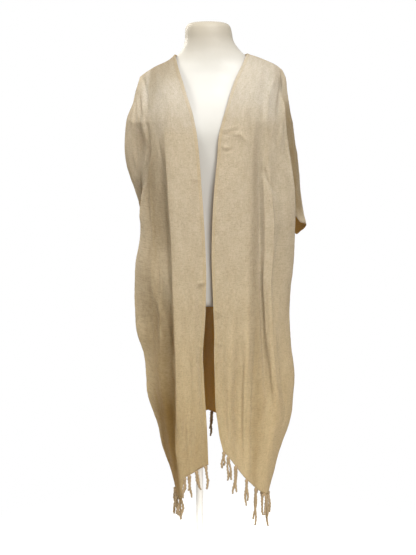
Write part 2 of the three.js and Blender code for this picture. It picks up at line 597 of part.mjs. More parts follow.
// Dress form: rounded sections stacked on the rows, closed top and bottom, with a soft bust.
function formGeometry() {
  const positions = [];
  const triangles = [];
  FORM_ROWS.forEach(([height, middle, half, front, back, square]) => {
    for (let k = 0; k < FORM_SIDES; k += 1) {
      const angle = (2 * Math.PI * k) / FORM_SIDES;
      const [cos, sin] = [Math.cos(angle), Math.sin(angle)];
      const x = half * Math.sign(cos) * Math.abs(cos) ** (2 / square);
      const depth = sin < 0 ? -front : back;
      const y = depth * Math.sign(sin) * Math.abs(sin) ** (2 / square);
      const swell = BUST.rise * bump(Math.abs(x), BUST.apart, BUST.spread) * bump(height, BUST.height, BUST.tall);
      positions.push(middle + x, sin < 0 ? y - swell * Math.abs(sin) : y, height);
    }
  });
  const rows = FORM_ROWS.length;
  for (let row = 0; row < rows - 1; row += 1) {
    for (let k = 0; k < FORM_SIDES; k += 1) {
      const [a, b] = [row * FORM_SIDES + k, row * FORM_SIDES + ((k + 1) % FORM_SIDES)];
      triangles.push(a, a + FORM_SIDES, b + FORM_SIDES, a, b + FORM_SIDES, b);
    }
  }
  const [top, bottom] = [positions.length / 3, positions.length / 3 + 1];
  positions.push(FORM_ROWS[0][1], 0, FORM_ROWS[0][0], FORM_ROWS[rows - 1][1], 0, FORM_ROWS[rows - 1][0]);
  for (let k = 0; k < FORM_SIDES; k += 1) {
    const next = (k + 1) % FORM_SIDES;
    const under = (rows - 1) * FORM_SIDES;
    triangles.push(top, k, next, bottom, under + next, under + k);
  }
  return closedGeometry(positions, triangles);
}

// Round solid from a profile of radius and height, standing up.
function turned(profile, segments) {
  const points = profile.map(([radius, height]) => new THREE.Vector2(radius, height));
  return new THREE.LatheGeometry(points, segments).rotateX(Math.PI / 2);
}

function baseGeometry() {
  const { radius, height, bevel } = BASE;
  return turned([[0, 0], [radius, 0], [radius, height - bevel], [radius - bevel, height], [0, height]], 48);
}

const FORM_UNDERSIDE = FORM_ROWS[FORM_ROWS.length - 1][0];

function socketGeometry() {
  const top = FORM_UNDERSIDE - FIT_GAP;
  const { radius, height, neck, lip, step } = SOCKET;
  const collar = turned([
    [0, top - height], [neck, top - height], [neck, top - step], [radius, top - lip], [radius, top], [0, top],
  ], 24);
  return collar.translate(POLE.x, 0, 0);
}

function poleGeometry() {
  const top = FORM_UNDERSIDE - SOCKET.height - 2 * FIT_GAP;
  const pole = turned([[0, BASE.height + FIT_GAP], [POLE.radius, BASE.height + FIT_GAP], [POLE.radius, top], [0, top]], 20);
  return pole.translate(POLE.x, 0, 0);
}

const jacket = new THREE.Group();

function addPiece(name, geometry, color, roughness) {
  const mesh = new THREE.Mesh(geometry, new THREE.MeshStandardMaterial({ color, roughness, metalness: 0 }));
  mesh.name = name;
  jacket.add(mesh);
}

addPiece('left_front', frontGeometry(LEFT), COLOUR.cloth, 0.9);
addPiece('right_front', frontGeometry(RIGHT), COLOUR.cloth, 0.9);
addPiece('back', backGeometry(), COLOUR.cloth, 0.9);
addPiece('fringe_left_front', frontFringe(LEFT), COLOUR.fringe, 0.9);
addPiece('fringe_right_front', frontFringe(RIGHT), COLOUR.fringe, 0.9);
addPiece('fringe_back', backFringe(), COLOUR.fringe, 0.9);
addPiece('dress_form', formGeometry(), COLOUR.form, 0.75);
addPiece('stand_socket', socketGeometry(), COLOUR.stand, 0.45);
addPiece('stand_pole', poleGeometry(), COLOUR.stand, 0.45);
addPiece('stand_base', baseGeometry(), COLOUR.stand, 0.45);

export default jacket;
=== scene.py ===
"""Looks for the kaftan jacket: thin slubby gauze with a knotted fringe, on a smooth dress form.

Tables and driving sizes below are in millimetres, as in the part's source; meshes are in metres.
A place runs round half of the jacket's section: 0 at the front edge, 7 at the side seam, 9 at the
sleeve's fold, 11 behind the side seam, 14 over the shoulder blade and 15 at the centre back.
"""

import math

import bpy
import numpy as np
from mathutils import Matrix, Vector


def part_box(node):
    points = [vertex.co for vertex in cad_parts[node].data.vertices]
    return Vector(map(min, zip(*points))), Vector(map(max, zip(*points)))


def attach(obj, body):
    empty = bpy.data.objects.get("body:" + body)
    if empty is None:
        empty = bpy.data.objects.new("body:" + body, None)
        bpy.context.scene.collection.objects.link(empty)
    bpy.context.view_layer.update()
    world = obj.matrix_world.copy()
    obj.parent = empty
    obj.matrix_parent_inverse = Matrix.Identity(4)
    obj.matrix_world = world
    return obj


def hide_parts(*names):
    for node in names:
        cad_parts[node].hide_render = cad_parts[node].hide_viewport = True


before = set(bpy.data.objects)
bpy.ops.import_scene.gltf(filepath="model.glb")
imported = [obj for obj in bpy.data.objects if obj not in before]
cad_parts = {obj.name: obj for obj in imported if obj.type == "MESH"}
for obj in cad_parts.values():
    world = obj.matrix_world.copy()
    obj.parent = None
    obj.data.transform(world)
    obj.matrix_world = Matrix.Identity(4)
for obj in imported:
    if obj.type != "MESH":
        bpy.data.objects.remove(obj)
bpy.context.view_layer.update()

bl_info = {
    "name": "Kaftan Jacket on a Dress Form",
    "version": (1, 0, 0),
    "blender": (4, 5, 0),
    "location": "View3D > Sidebar > Kaftan",
    "description": "Open gauze jacket with a knotted fringe, on a limbless dress form",
    "category": "Object",
}

MM = 0.001

# Heights that the whole jacket shares, and the arcs of its yoke
YOKE_FOOT = 1265
YOKE_CURVE = 1.75
NAPE_CURVE = 1.25
NAPE_DEPTH = 71
NAPE_HEIGHT = 1437
SLEEVE_HOLD = 0.35
SLEEVE_MIDDLE = 0.52

# Soft pleats hanging from the chest
PLEAT_DEPTH = 3.2
PLEAT_PITCH = 44
PLEAT_START = 1050
PLEAT_FULL = 520

# Dress form, one row for each level
# columns: height, middle, half width, front depth, back depth, squareness
FORM_ROWS = [
    [1523, 0, 26, -24, 28, 2.0],
    [1521, 0, 45, -42, 47, 2.0],
    [1514, 0, 56, -53, 58, 2.0],
    [1500, 1, 60, -57, 61, 2.0],
    [1476, 3, 63, -57, 61, 2.0],
    [1455, 6, 74, -57, 62, 1.9],
    [1441, 8, 86, -58, 64, 1.8],
    [1420, 8, 110, -60, 68, 1.75],
    [1404, 8, 142, -62, 72, 1.8],
    [1387, 8, 165, -65, 78, 1.9],
    [1365, 8, 168, -72, 86, 2.0],
    [1330, 8, 163, -85, 97, 2.1],
    [1290, 8, 154, -97, 104, 2.2],
    [1240, 8, 150, -104, 105, 2.2],
    [1190, 8, 140, -99, 99, 2.2],
    [1130, 8, 128, -92, 92, 2.2],
    [1040, 8, 120, -86, 84, 2.2],
    [960, 8, 138, -90, 97, 2.2],
    [880, 8, 160, -98, 109, 2.2],
    [820, 8, 160, -96, 107, 2.2],
    [806, 8, 158, -94, 105, 2.2],
    [800, 8, 152, -90, 100, 2.2],
]
BUST = {"apart": 76, "height": 1238, "rise": 15, "spread": 42, "tall": 58}

# Fold lines, top to hem
# columns: height, distance out from the centre plane, depth
CENTRE_BACK = [
    [YOKE_FOOT, 0, 112], [1130, 0, 111], [1040, 0, 111], [960, 0, 114], [880, 0, 119], [780, 0, 119],
    [600, 0, 118], [484, 0, 116], [300, 0, 112],
]
SHOULDER_BLADE = [
    [YOKE_FOOT, 92, 112], [1130, 88, 112], [1040, 84, 112], [960, 84, 115], [880, 86, 118], [780, 86, 118],
    [600, 82, 116], [480, 74, 112], [300, 62, 104],
]

LEFT = {
    "hand": -1,
    "underarm": 1100,
    "sleeve_opening": 11,
    "neck_out": 84,
    "neck_height": 1441,
    "pleat_phase": 2.1,
    "front_hem_end": 5.0,
    # columns: distance out, height
    "ridge": [[84, 1441], [103, 1425.5], [136, 1410], [162, 1394], [175, 1384]],
    "edge": [
        [1441, 84, 0], [1403, 75, -52], [1365, 63, -75], [1326, 51.5, -94], [1288, 39, -106],
        [YOKE_FOOT, 34, -110], [1232, 27.6, -112], [1172, 21.2, -112], [1120, 17.4, -112], [1050, 12.2, -112],
        [981, 8, -112], [921, 5.2, -112], [883, 4.2, -112], [831, 5.2, -112], [789, 6, -112],
        [744, 8.7, -112], [712, 11.4, -112], [674, 12.9, -112], [640, 10.7, -112], [605, 9.5, -112],
        [540, 5.2, -112], [483, 1.9, -112], [399, -1.2, -112],
    ],
    "bust": [
        [YOKE_FOOT, 78, -120], [1170, 70, -120], [1060, 60, -118], [900, 50, -116], [750, 45, -114],
        [600, 43, -113], [480, 40, -113], [400, 38, -113], [300, 36, -113],
    ],
    "panel_fold": [
        [YOKE_FOOT, 109, -112], [1158, 103, -114], [1071, 98, -114], [971, 91, -114], [847, 87, -113],
        [747, 83, -113], [650, 81, -113], [573, 80, -113], [499, 78, -113], [424, 76, -113], [350, 70, -113],
        [300, 64, -113],
    ],
    "panel_valley": [
        [YOKE_FOOT, 127, -100], [1196, 120, -93], [1158, 114, -88], [1071, 104, -80], [971, 97, -80],
        [880, 93, -92], [820, 91, -86], [747, 87, -70], [650, 85, -60], [573, 84, -58], [499, 82, -60],
        [424, 79, -66], [350, 73, -80], [300, 67, -92],
    ],
    "middle_ridge": [
        [YOKE_FOOT, 141, -91], [1196, 134, -85], [1158, 132, -78], [1071, 128, -66], [971, 124, -66],
        [880, 122, -80], [820, 122, -74], [747, 123, -62], [650, 121, -52], [573, 118, -48], [499, 108, -44],
        [424, 98, -46], [350, 84, -58], [300, 74, -72],
    ],
    "middle_valley": [
        [YOKE_FOOT, 152, -85], [1196, 143, -78], [1158, 146, -64], [1071, 148, -44], [971, 142, -52],
        [880, 145, -64], [820, 143, -56], [747, 141, -38], [650, 138, -30], [573, 134, -26], [499, 122, -22],
        [424, 108, -20], [350, 90, -30], [300, 78, -42],
    ],
    "side_fold": [
        [YOKE_FOOT, 162, -78], [1196, 152, -66], [1143, 160, -48], [1089, 169, -28], [1058, 172, -18],
        [1027, 175, -10], [967, 176.5, -5], [910, 187, 0], [870, 190, 0], [780, 190, 4], [715, 186, 8],
        [663, 168, 8], [598, 162, 10], [559, 160, 10], [520, 149.5, 12], [468, 131, 14], [429, 123.5, 14],
        [403, 116, 14], [351, 97.5, 12], [312, 87, 8], [282, 80, 5],
    ],
    "side_seam": [
        [YOKE_FOOT, 190, -44], [1196, 184, -34], [1130, 178, -16], [1090, 168, 0], [1040, 160, 18],
        [960, 166, 30], [880, 183, 36], [780, 183, 42], [700, 174, 45], [640, 156, 45], [560, 149, 45],
        [500, 134, 45], [430, 111, 42], [350, 88, 36], [300, 77, 30],
    ],
    "back_side_fold": [
        [YOKE_FOOT, 180, 70], [1196, 176, 74], [1130, 166, 76], [1040, 145, 74], [960, 152, 78],
        [880, 170, 80], [780, 172, 82], [700, 164, 82], [640, 148, 80], [560, 139, 78], [500, 125, 76],
        [430, 105, 72], [350, 85, 64], [300, 75, 58],
    ],
    "back_valley": [
        [YOKE_FOOT, 142, 96], [1130, 129, 98], [1040, 118, 98], [960, 122, 102], [880, 130, 105],
        [780, 130, 105], [700, 126, 105], [600, 117, 103], [500, 104, 100], [400, 88, 94], [300, 74, 86],
    ],
    "sleeve_fold": [
        [1384, 175, 0], [1362, 181, -3], [1346, 186, -5], [1315, 193, -9], [1284, 206, -13],
        [YOKE_FOOT, 210.5, -15], [1216, 214.5, -12], [1185, 214.5, -4], [1154, 210, 6], [1123, 200, 18],
        [1092, 189, 32], [1060, 179, 44], [1020, 171, 56], [900, 168, 62], [300, 160, 60],
    ],
    # columns: height, how far the sleeve's back layer lies behind its front one at the inner tuck
    "tuck_depth": [[YOKE_FOOT, 86], [1196, 68], [1140, 36], [1100, 4.2], [1080, 0], [300, 0]],
    # columns: place along the section, height of the lower edge there
    "hem": [
        [0, 402], [1, 381], [1.55, 366], [1.8, 338], [2, 312], [3, 304], [4, 302], [5, 303], [6, 306],
        [7, 318], [11, 318], [12, 352], [13, 404], [14, 455], [15, 484],
    ],
    "mouth": [
        [0, 1100], [7, 1100], [7.5, 1074], [8, 1054], [9, 1028], [10, 1036], [10.5, 1066], [11, 1100],
        [15, 1100],
    ],
}

RIGHT = {
    "hand": 1,
    "underarm": 1120,
    "sleeve_opening": 21,
    "neck_out": 100,
    "neck_height": 1443,
    "pleat_phase": 0.6,
    "front_hem_end": 6.0,
    "ridge": [[100, 1443], [124, 1436], [152, 1425], [175, 1414], [190, 1403]],
    "edge": [
        [1443, 100, 0], [1411, 87, -46], [1378, 71, -68], [1346, 59, -84], [1305, 47, -100],
        [YOKE_FOOT, 35, -110], [1225, 26, -112], [1172, 22.7, -112], [1120, 17.4, -112], [1050, 12.2, -112],
        [981, 9.5, -112], [921, 8.7, -112], [806, 13, -112], [727, 15.7, -112], [692, 14.9, -112],
        [622, 16.4, -112], [588, 17.4, -112], [545, 19.2, -112], [506, 24.4, -112], [473, 29, -112],
        [436, 38, -112], [400, 42, -112], [300, 48, -112],
    ],
    "bust": [
        [YOKE_FOOT, 80, -120], [1170, 78, -120], [1060, 72, -118], [900, 68, -115], [750, 66, -114],
        [600, 68, -113], [480, 74, -113], [400, 78, -113], [300, 82, -113],
    ],
    "panel_fold": [
        [YOKE_FOOT, 112, -114], [1170, 110, -113], [1060, 108, -111], [900, 106, -110], [750, 108, -109],
        [600, 112, -109], [480, 112, -110], [400, 110, -110], [300, 108, -110],
    ],
    "panel_valley": [
        [YOKE_FOOT, 131, -106], [1195, 126, -98], [1070, 129, -90], [945, 131.5, -85], [860, 133, -85],
        [820, 135, -83], [719, 139, -82], [619, 145, -84], [549, 149, -90], [450, 140, -98], [380, 130, -102],
        [300, 124, -104],
    ],
    "middle_ridge": [
        [YOKE_FOOT, 150, -99], [1170, 148, -97], [1107, 152, -95], [1019, 159, -92], [944, 160, -89],
        [860, 151, -91], [791, 154, -91], [719, 158, -91], [619, 166, -91], [549, 174, -90], [450, 160, -97],
        [380, 146, -101], [300, 136, -103],
    ],
    "middle_valley": [
        [YOKE_FOOT, 168, -90], [1170, 166, -86], [1107, 170, -82], [1019, 178, -76], [968, 176, -71],
        [862, 170, -68], [791, 173, -66], [720, 176, -64], [667, 180, -64], [597, 188, -61], [561, 194, -59],
        [520, 198, -60], [480, 188, -68], [400, 164, -88], [300, 144, -99],
    ],
    "side_fold": [
        [YOKE_FOOT, 193, -62], [1208, 200, -60], [1144, 210, -56], [1093, 217.5, -51], [1037, 222.5, -45],
        [972, 222, -38], [913, 219, -35], [873, 216, -32], [835, 212, -30], [771, 210, -28], [695, 214, -28],
        [625, 223, -30], [592, 223, -32], [553, 220, -34], [515, 216, -37], [477, 206, -44], [446, 192, -54],
        [413, 180, -62], [377, 170, -70], [349, 162, -76], [317, 154, -80], [290, 149, -82],
    ],
    "side_seam": [
        [YOKE_FOOT, 200, -22], [1196, 198, -14], [1120, 197, -4], [1060, 201, 4], [1000, 205, 12],
        [960, 207, 18], [880, 206, 24], [780, 201, 25], [700, 204, 25], [620, 212, 25], [560, 206, 26],
        [500, 192, 28], [440, 172, 30], [380, 152, 30], [330, 140, 28], [290, 134, 26],
    ],
    "back_side_fold": [
        [YOKE_FOOT, 192, 66], [1196, 192, 66], [1120, 187, 66], [1005, 184, 65], [900, 185, 67],
        [780, 184, 69], [700, 188, 70], [620, 195, 70], [560, 189, 72], [500, 176, 74], [440, 158, 76],
        [380, 140, 76], [330, 128, 74], [290, 120, 70],
    ],
    "back_valley": [
        [YOKE_FOOT, 150, 96], [1120, 146, 98], [900, 141, 104], [780, 140, 106], [620, 146, 106],
        [500, 134, 103], [400, 112, 98], [300, 94, 90],
    ],
    "sleeve_fold": [
        [1403, 190, 0], [1393, 196, 1], [1378, 201, 2], [1346, 204, 4], [1315, 209, 6], [1284, 214.5, 9],
        [YOKE_FOOT, 219, 11], [1216, 226, 16], [1185, 232, 18], [1154, 235, 20], [1123, 238, 22],
        [1092, 240.5, 24], [1060, 245.5, 26], [1029, 251, 26], [998, 258, 25], [900, 262, 25], [300, 220, 25],
    ],
    "tuck_depth": [[YOKE_FOOT, 66], [1196, 50], [1160, 30], [1120, 4.2], [1100, 0], [290, 0]],
    "hem": [
        [0, 436], [0.4, 417], [1, 386], [2, 352], [3, 335], [4, 326], [5, 321], [6, 317], [7, 324], [11, 324],
        [12, 350], [13, 400], [14, 452], [15, 484],
    ],
    "mouth": [
        [0, 1120], [7, 1120], [7.5, 1045], [8, 1012], [8.5, 1004], [9, 998], [9.5, 984], [10, 976],
        [10.5, 1030], [11, 1120], [15, 1120],
    ],
}

SIDE_SEAM = 7
SLEEVE_FOLD = 9
BACK_TUCK = 11
CENTRE = 15

# Creases laid into the cloth one by one, a soft trough where the depth is negative
# columns: distance from the front edge and height where it starts, the same where it ends, depth, width, bow
LEFT_CREASES = [
    [0, 1120, 22, 1126, 0.9, 3.5, 1],
    [2, 932, 20, 925, -0.9, 4, 1],
    [0, 866, 26, 858, 1.5, 3.5, -2],
    [4, 852, 24, 848, -0.8, 4, 1],
    [0, 806, 18, 812, 0.7, 4, 0],
    [0, 700, 16, 706, 0.8, 4, 1],
    [2, 664, 22, 658, -0.8, 4, 1],
    [0, 596, 20, 590, 0.8, 5, 1],
    [104, 1398, 128, 1276, -1.6, 8, 6],
    [118, 1340, 150, 1210, 1.8, 9, -6],
    [134, 1300, 146, 1190, -1.5, 7, 5],
    [60, 1330, 96, 1230, -0.9, 9, 5],
    [112, 1216, 144, 1060, 1.5, 7, 5],
    [88, 1180, 96, 900, -1.1, 7, -6],
    [64, 1090, 50, 520, -1.0, 8, 5],
    [30, 990, 22, 470, 0.9, 9, -4],
    [44, 880, 34, 430, -0.8, 7, 3],
    [128, 900, 116, 640, 1.4, 7, 6],
    [150, 960, 160, 760, -1.6, 8, 8],
    [176, 860, 150, 600, 1.3, 8, 8],
    [120, 640, 104, 420, -1.3, 8, -5],
    [54, 700, 52, 410, 1.6, 7, 0],
    [36, 700, 34, 420, -1.9, 7, 1],
    [18, 700, 17, 430, 1.4, 6, 0],
    [46, 620, 47, 384, -1.8, 5, 2],
    [28, 560, 27, 400, 1.2, 5, -1],
    [60, 560, 61, 372, -1.6, 6, -2],
    [70, 1010, 60, 700, 0.9, 7, 4],
    [20, 1180, 34, 960, 0.8, 8, -4],
    [129, 1190, 202, 1058, 2.1, 5, -5],
    [141, 1198, 214, 1070, -1.5, 7, -5],
    [138, 1328, 146, 1266, -1.7, 5, 1],
    [152, 1330, 168, 1250, 1.4, 6, 3],
    [150, 1290, 196, 1150, -1.7, 8, 6],
    [168, 1310, 214, 1130, 1.9, 9, -7],
    [190, 1250, 226, 1080, -1.5, 8, 5],
    [132, 560, 122, 400, 1.3, 7, 3],
    [96, 700, 98, 440, -1.2, 7, -4],
]
RIGHT_CREASES = [
    [2, 1243, 48, 1256, 1.0, 3.5, 2],
    [6, 1232, 40, 1236, -0.8, 3.5, 1],
    [8, 1206, 30, 1200, 0.9, 4, 1],
    [0, 1094, 20, 1100, 0.8, 4, 1],
    [0, 980, 20, 986, -0.8, 4, 1],
    [0, 796, 22, 788, 1.1, 4, 1],
    [0, 768, 18, 774, -0.9, 4, 1],
    [0, 716, 24, 706, 1.0, 4, 1],
    [0, 664, 18, 668, 0.8, 4, 1],
    [128, 1152, 166, 1092, -2.0, 7, 5],
    [120, 1392, 140, 1270, -1.5, 9, -6],
    [96, 1376, 124, 1236, 1.3, 9, 6],
    [150, 1330, 170, 1200, 1.6, 8, -5],
    [60, 1310, 92, 1222, -0.9, 9, 5],
    [34, 960, 26, 470, -0.9, 8, 4],
    [56, 880, 54, 450, 1.0, 9, -4],
    [78, 820, 92, 440, -1.0, 8, 4],
    [92, 1080, 90, 700, 0.8, 9, -4],
    [150, 1060, 152, 820, 1.0, 7, 4],
    [176, 960, 184, 660, -1.5, 8, -6],
    [200, 820, 214, 560, 1.4, 9, 6],
    [140, 640, 128, 420, -1.1, 8, 5],
    [96, 780, 92, 430, 2.0, 6, 0],
    [74, 720, 66, 440, -1.9, 7, 2],
    [50, 740, 40, 450, 1.6, 6, 0],
    [28, 720, 18, 470, -1.5, 6, 0],
    [118, 740, 118, 420, -1.8, 8, 0],
    [84, 690, 84, 400, -1.8, 5, 1],
    [106, 640, 104, 380, 1.7, 5, -1],
    [38, 640, 30, 440, -1.3, 5, 1],
    [62, 640, 58, 410, -1.5, 5, 0],
    [20, 1234, 62, 1230, 0.9, 4, -2],
    [14, 1190, 44, 1200, -0.8, 4, 2],
    [44, 1246, 74, 1214, 0.9, 5, 2],
    [130, 900, 142, 640, 1.0, 8, 5],
    [150, 700, 170, 520, -1.3, 8, -4],
]
# Tucks and ridges that follow the fold lines
# columns: height where it starts, height where it ends, place, reach in places, depth
LEFT_TUCKS = [
    [1300, 340, 2.0, 0.10, 1.6],
    [1240, 320, 2.45, 0.20, -3.0],
    [960, 640, 3.95, 0.12, 2.4],
    [960, 640, 4.35, 0.25, -2.0],
    [1120, 1000, 5.9, 0.16, 3.0],
    [1210, 1040, 5.4, 0.30, -2.5],
    [1245, 640, 4.9, 0.18, 1.6],
    [1180, 520, 3.35, 0.16, 1.8],
    [900, 420, 5.6, 0.22, -2.2],
]
RIGHT_TUCKS = [
    [1380, 1020, 5.95, 0.13, 4.2],
    [1370, 1010, 6.7, 0.32, -9.0],
    [1240, 420, 3.0, 0.16, -4.0],
    [1230, 600, 3.5, 0.14, 2.8],
    [1060, 440, 5.0, 0.18, -3.8],
    [980, 500, 4.4, 0.25, 2.0],
    [1180, 500, 4.25, 0.12, 2.4],
    [1160, 460, 4.62, 0.16, -2.6],
    [1180, 560, 5.55, 0.18, 1.4],
    [760, 400, 3.5, 0.22, -1.8],
]
# columns: distance from the centre back, to the right, and height where it starts, the same where it ends,
# depth, width, bow
BACK_CREASES = [
    [-30, 1400, -110, 1180, -1.4, 10, 8],
    [34, 1404, 118, 1170, -1.5, 10, -8],
    [-8, 1392, -44, 1120, 1.1, 11, 6],
    [12, 1386, 66, 1100, 1.2, 11, -5],
    [-128, 1330, -176, 1130, 1.6, 9, 6],
    [150, 1340, 190, 1120, 1.7, 9, -6],
    [-96, 1240, -150, 1010, -1.5, 9, 7],
    [104, 1230, 168, 1000, -1.6, 9, -7],
    [-60, 1090, -78, 640, -1.6, 11, 8],
    [-24, 1010, -30, 520, 1.5, 12, -7],
    [16, 1040, 22, 560, -1.7, 11, 6],
    [58, 980, 70, 520, 1.6, 12, 7],
    [98, 920, 110, 470, -1.7, 11, -8],
    [-104, 900, -112, 450, 1.6, 11, 8],
    [-146, 880, -140, 430, -1.5, 10, 8],
    [140, 860, 150, 440, 1.5, 10, 7],
    [-184, 980, -176, 560, 1.4, 9, 7],
    [186, 960, 188, 560, -1.4, 9, -7],
]

# Tassels that show, from the front edge out
# columns: distance out, length, how far the tip swings out, length of the second strand, its swing, and how
# far the two bow apart where their tips are tied into a loop
LEFT_TASSELS = [
    [4, 60, -3, 40, -9, 0],
    [28, 50, -10, 46, -8, 0],
    [46, 58, -3, 40, -1, 0],
    [57, 40, 4, 52, 3, 0],
    [68, 51, 2, 50, 0, 4],
    [76, 49, -2, 48, -4, 5],
]
RIGHT_TASSELS = [
    [39, 42, -5, 36, -2, 0],
    [50, 62, 0, 60, 8, 0],
    [69, 72, -5, 67, -1, 0],
    [96, 68, -1, 56, 1, 0],
    [120, 97, 0, 82, -6, 0],
    [141, 57, 1, 56, -1, 5],
    [150, 82, 1, 60, -3, 0],
]


# Tassels that don't show: for each column above but the first, a sine over their number
# columns: mean, swing, rate, phase
SIDE_SWINGS = [[58, 9, 2.3, 0], [0, 3, 1.9, 0], [50, 8, 3.1, 1], [0, 5, 1.3, math.pi / 2], [0, 0, 0, 0]]
BACK_SWINGS = [[60, 10, 2.1, 0], [0, 4, 1.7, 0], [52, 9, 2.9, 2], [0, 5, 2.3, math.pi / 2], [0, 0, 0, 0]]

# side, creases, tucks, seed, name of the cloth and of its stitches, CAD node
FRONTS = (
    (LEFT, LEFT_CREASES, LEFT_TUCKS, 11, "left_front_cloth", "left_stitches", "left_front"),
    (RIGHT, RIGHT_CREASES, RIGHT_TUCKS, 23, "right_front_cloth", "right_stitches", "right_front"),
)
BACK_SEED = 41

# Rows of the cloth's grids from the ridge down, and columns for each place
YOKE_ROWS = 44
SLEEVE_ROWS = 44
HEM_ROWS = 160
MOUTH_ROW = YOKE_ROWS + SLEEVE_ROWS
FRONT_STEPS = 15
BACK_STEPS = 13
TURNED_PLACES = [0.0, 0.035, 0.07, 0.105, 0.13, 0.15, 0.17, 0.19, 0.22]
HEM_STEPS = 60
BACK_HEM_STEPS = 40

# How much deeper than in the tables the creases are laid, in front and behind
CREASE_DEPTH = 2.3
BACK_CREASE_DEPTH = 2.7
# Shares of a crease's length over which it comes in and dies out, and the same of a tuck's height
CREASE_START = (-0.12, 0.3)
CREASE_FINISH = (0.7, 1.12)
TUCK_FADE = 0.25
# Where relief fades: distance from the front edge, places towards the sleeve's fold, rows below the ridge
CALM_EDGE = 14
CALM_FOLD = (8.6, 9.0)
CALM_LEAST = 0.35
CREASE_PLACES = (8.3, 8.8)
JOIN_PLACES = 0.25
TOP_ROWS = 5

# Waves of the limp gauze
# columns: height, size across, size down, how far it is turned
RIPPLES = [[1.0, 11, 90, 0], [0.6, 6, 45, 0]]
PUCKERS = [[0.46, 22, 8, 0], [0.24, 6, 6, 0], [0.34, 26, 7, 0.7]]
RIPPLE_LEAST = 0.55
RIPPLE_TOTAL = 1.6

# Turned edge: where its seam lies, half the width of its step, reach and depth of the seam's dip
SEAM_INSET = 1.0
EDGE_STEP = 0.6
SEAM_REACH = 0.8
SEAM_DIP = 0.55
# Its darker tone: half the width of the step, share of the whole band, reach of the seam
TONE_STEP = 0.4
BAND_TONE = 0.35
SEAM_TONE_REACH = 1.1

# Painted shade in the recesses: by depth and place, at the fold beside the panel, low down, and behind the
# right sleeve
DEEP_DEPTHS = (-108, -50)
DEEP_PLACES = (4.6, 6.2)
FOLD_PLACE = 2.35
FOLD_REACH = 0.4
FOLD_HEIGHTS = (1150, 1270)
LOW_HEIGHTS = (380, 620)
BEHIND_PLACES = ((6.3, 6.8), (8.2, 8.85))
BEHIND_HEIGHTS = ((1000, 1060), (1295, 1345))
MOTTLE = {"share": 0.15, "stretch": 30, "across": 9, "down": 26, "seed": 77}
PAINTED_SHADE = {"deep": 0.62, "fold": 0.44, "low": 0.34, "low_deep": 0.85, "right_fold": 0.35, "behind": 0.8}

# A stitch: how far each of its rings lies along it, how thick it is there and how far it has sunk in
# columns: share of half the length, share of the radius, depth in mm
STITCH_RINGS = [[-1.0, 0.2, 0.45], [-0.6, 1.0, 0.0], [0.6, 1.0, 0.0], [1.0, 0.2, 0.45]]
STITCH_RADIUS = 0.42
STITCH_SIDES = 6
STITCH_LIFT = 0.15
STITCH_AHEAD = 1
STITCH_BESIDE = 2

# Twisted strands: points, length for a radian of twist, depth of the three lobes, place and reach of the
# knot below the root, taper at the tip, and distance between a tassel's two strands
STRAND_LEVELS = 22
STRAND_SIDES = 8
STRAND_TWIST = 4.2
LOBES = 3
LOBE_DEPTH = 0.26
KNOT_DOWN = 3.6
KNOT_REACH = 2.6
ROOT_SHARE = 0.45
TIP_TAPER = 0.22
STRAND_LEAN = 2.6
SECOND_PHASE = 2.0

# Dress form: steps from one row to the next, and the shares and depths of the rings that close it
FORM_STEPS = 6
FORM_CAP = [0.8, 0.55, 0.25, 0.04]
CAP_DEPTHS = (2.0, 5.0)

# Stand, in metres, but for the socket's neck, a share of its radius
STAND_PIECES = (("stand_base", "base_disc"), ("stand_pole", "pole_tube"), ("stand_socket", "socket_cup"))
POLE_ROUNDING = 0.0006
SOCKET_ROUNDING = 0.0012
SOCKET_NECK = 0.62
SOCKET_LIP = 0.006
SOCKET_STEP = 0.014
ON_AXIS = 1e-4
ROUND_SIDES = 96

# Pitch and relief of the weave in metres, and how dark the fringe gets between its fibres
THREAD_PITCH = 0.0011
WEAVE_RELIEF = 0.0011
DARK_THREAD = 0.66
# Tints that are multiplied into the cloth's colour
# Painted light: paler and cooler on the front of the yoke, for light from above and the pale form under the
# sheer cloth
YOKE_LIGHT_TINT = (1.03, 1.11, 1.30, 1)
# Painted light by height: a little cooler above, warmer and darker towards the hem
UPPER_LIGHT_TINT = (0.99, 1.0, 1.04, 1)
LOWER_LIGHT_TINT = (1.0, 0.945, 0.79, 1)
EDGE_TINT = (0.80, 0.76, 0.68, 1)
# Painted shade: a dark, saturated brown on the cloth's inner faces
INNER_SHADE_TINT = (0.50, 0.30, 0.03, 1)
# Painted shade in the recesses, by the `shade` mask
SHADE_TINT = (0.40, 0.32, 0.16, 1)
CLEAR_TINT = (1.0, 0.93, 0.80, 1)
SHADED_COVER = (0.345, 0.332, 0.306, 1)

# Stage, in metres, with the camera's tilt in degrees and its shift a share of the picture
# name, size, place, point that it faces, colour
LIGHTS = (
    ("key", (1.3, 1.3), (0.75, -2.35, 3.35), (0.0, 0.0, 1.0), (0.97, 0.985, 1.0)),
    ("fill", (1.6, 0.8), (1.2, -2.2, 0.5), (0.0, 0.0, 0.7), (1.0, 0.90, 0.76)),
    ("rear", (1.8, 1.4), (-2.1, 2.0, 2.5), (0.0, 0.0, 1.0), (1.0, 0.97, 0.91)),
    ("side", (1.0, 1.4), (-2.3, -1.5, 2.6), (-0.1, 0.0, 1.15), (1.0, 0.96, 0.88)),
)
FLOOR_RADII = [0.001, 0.5, 1.0, 2.0, 4.0, 8.0]
FLOOR_DROP = 0.0005
FLOOR_FADE = (0.36, 0.95)
CAMERA_SHIFT = -0.12
CAMERA_TILT = 3.14


def millimetres(value, text, default):
    """A length property, given in millimetres and kept in metres."""
    return bpy.props.FloatProperty(
        name=value, description=text, default=default * MM, unit="LENGTH", precision=5
    )


def metres(value, text, default):
    """A length property in metres."""
    return bpy.props.FloatProperty(name=value, description=text, default=default, unit="LENGTH")


def number(value, text, default):
    """A plain number."""
    return bpy.props.FloatProperty(name=value, description=text, default=default)


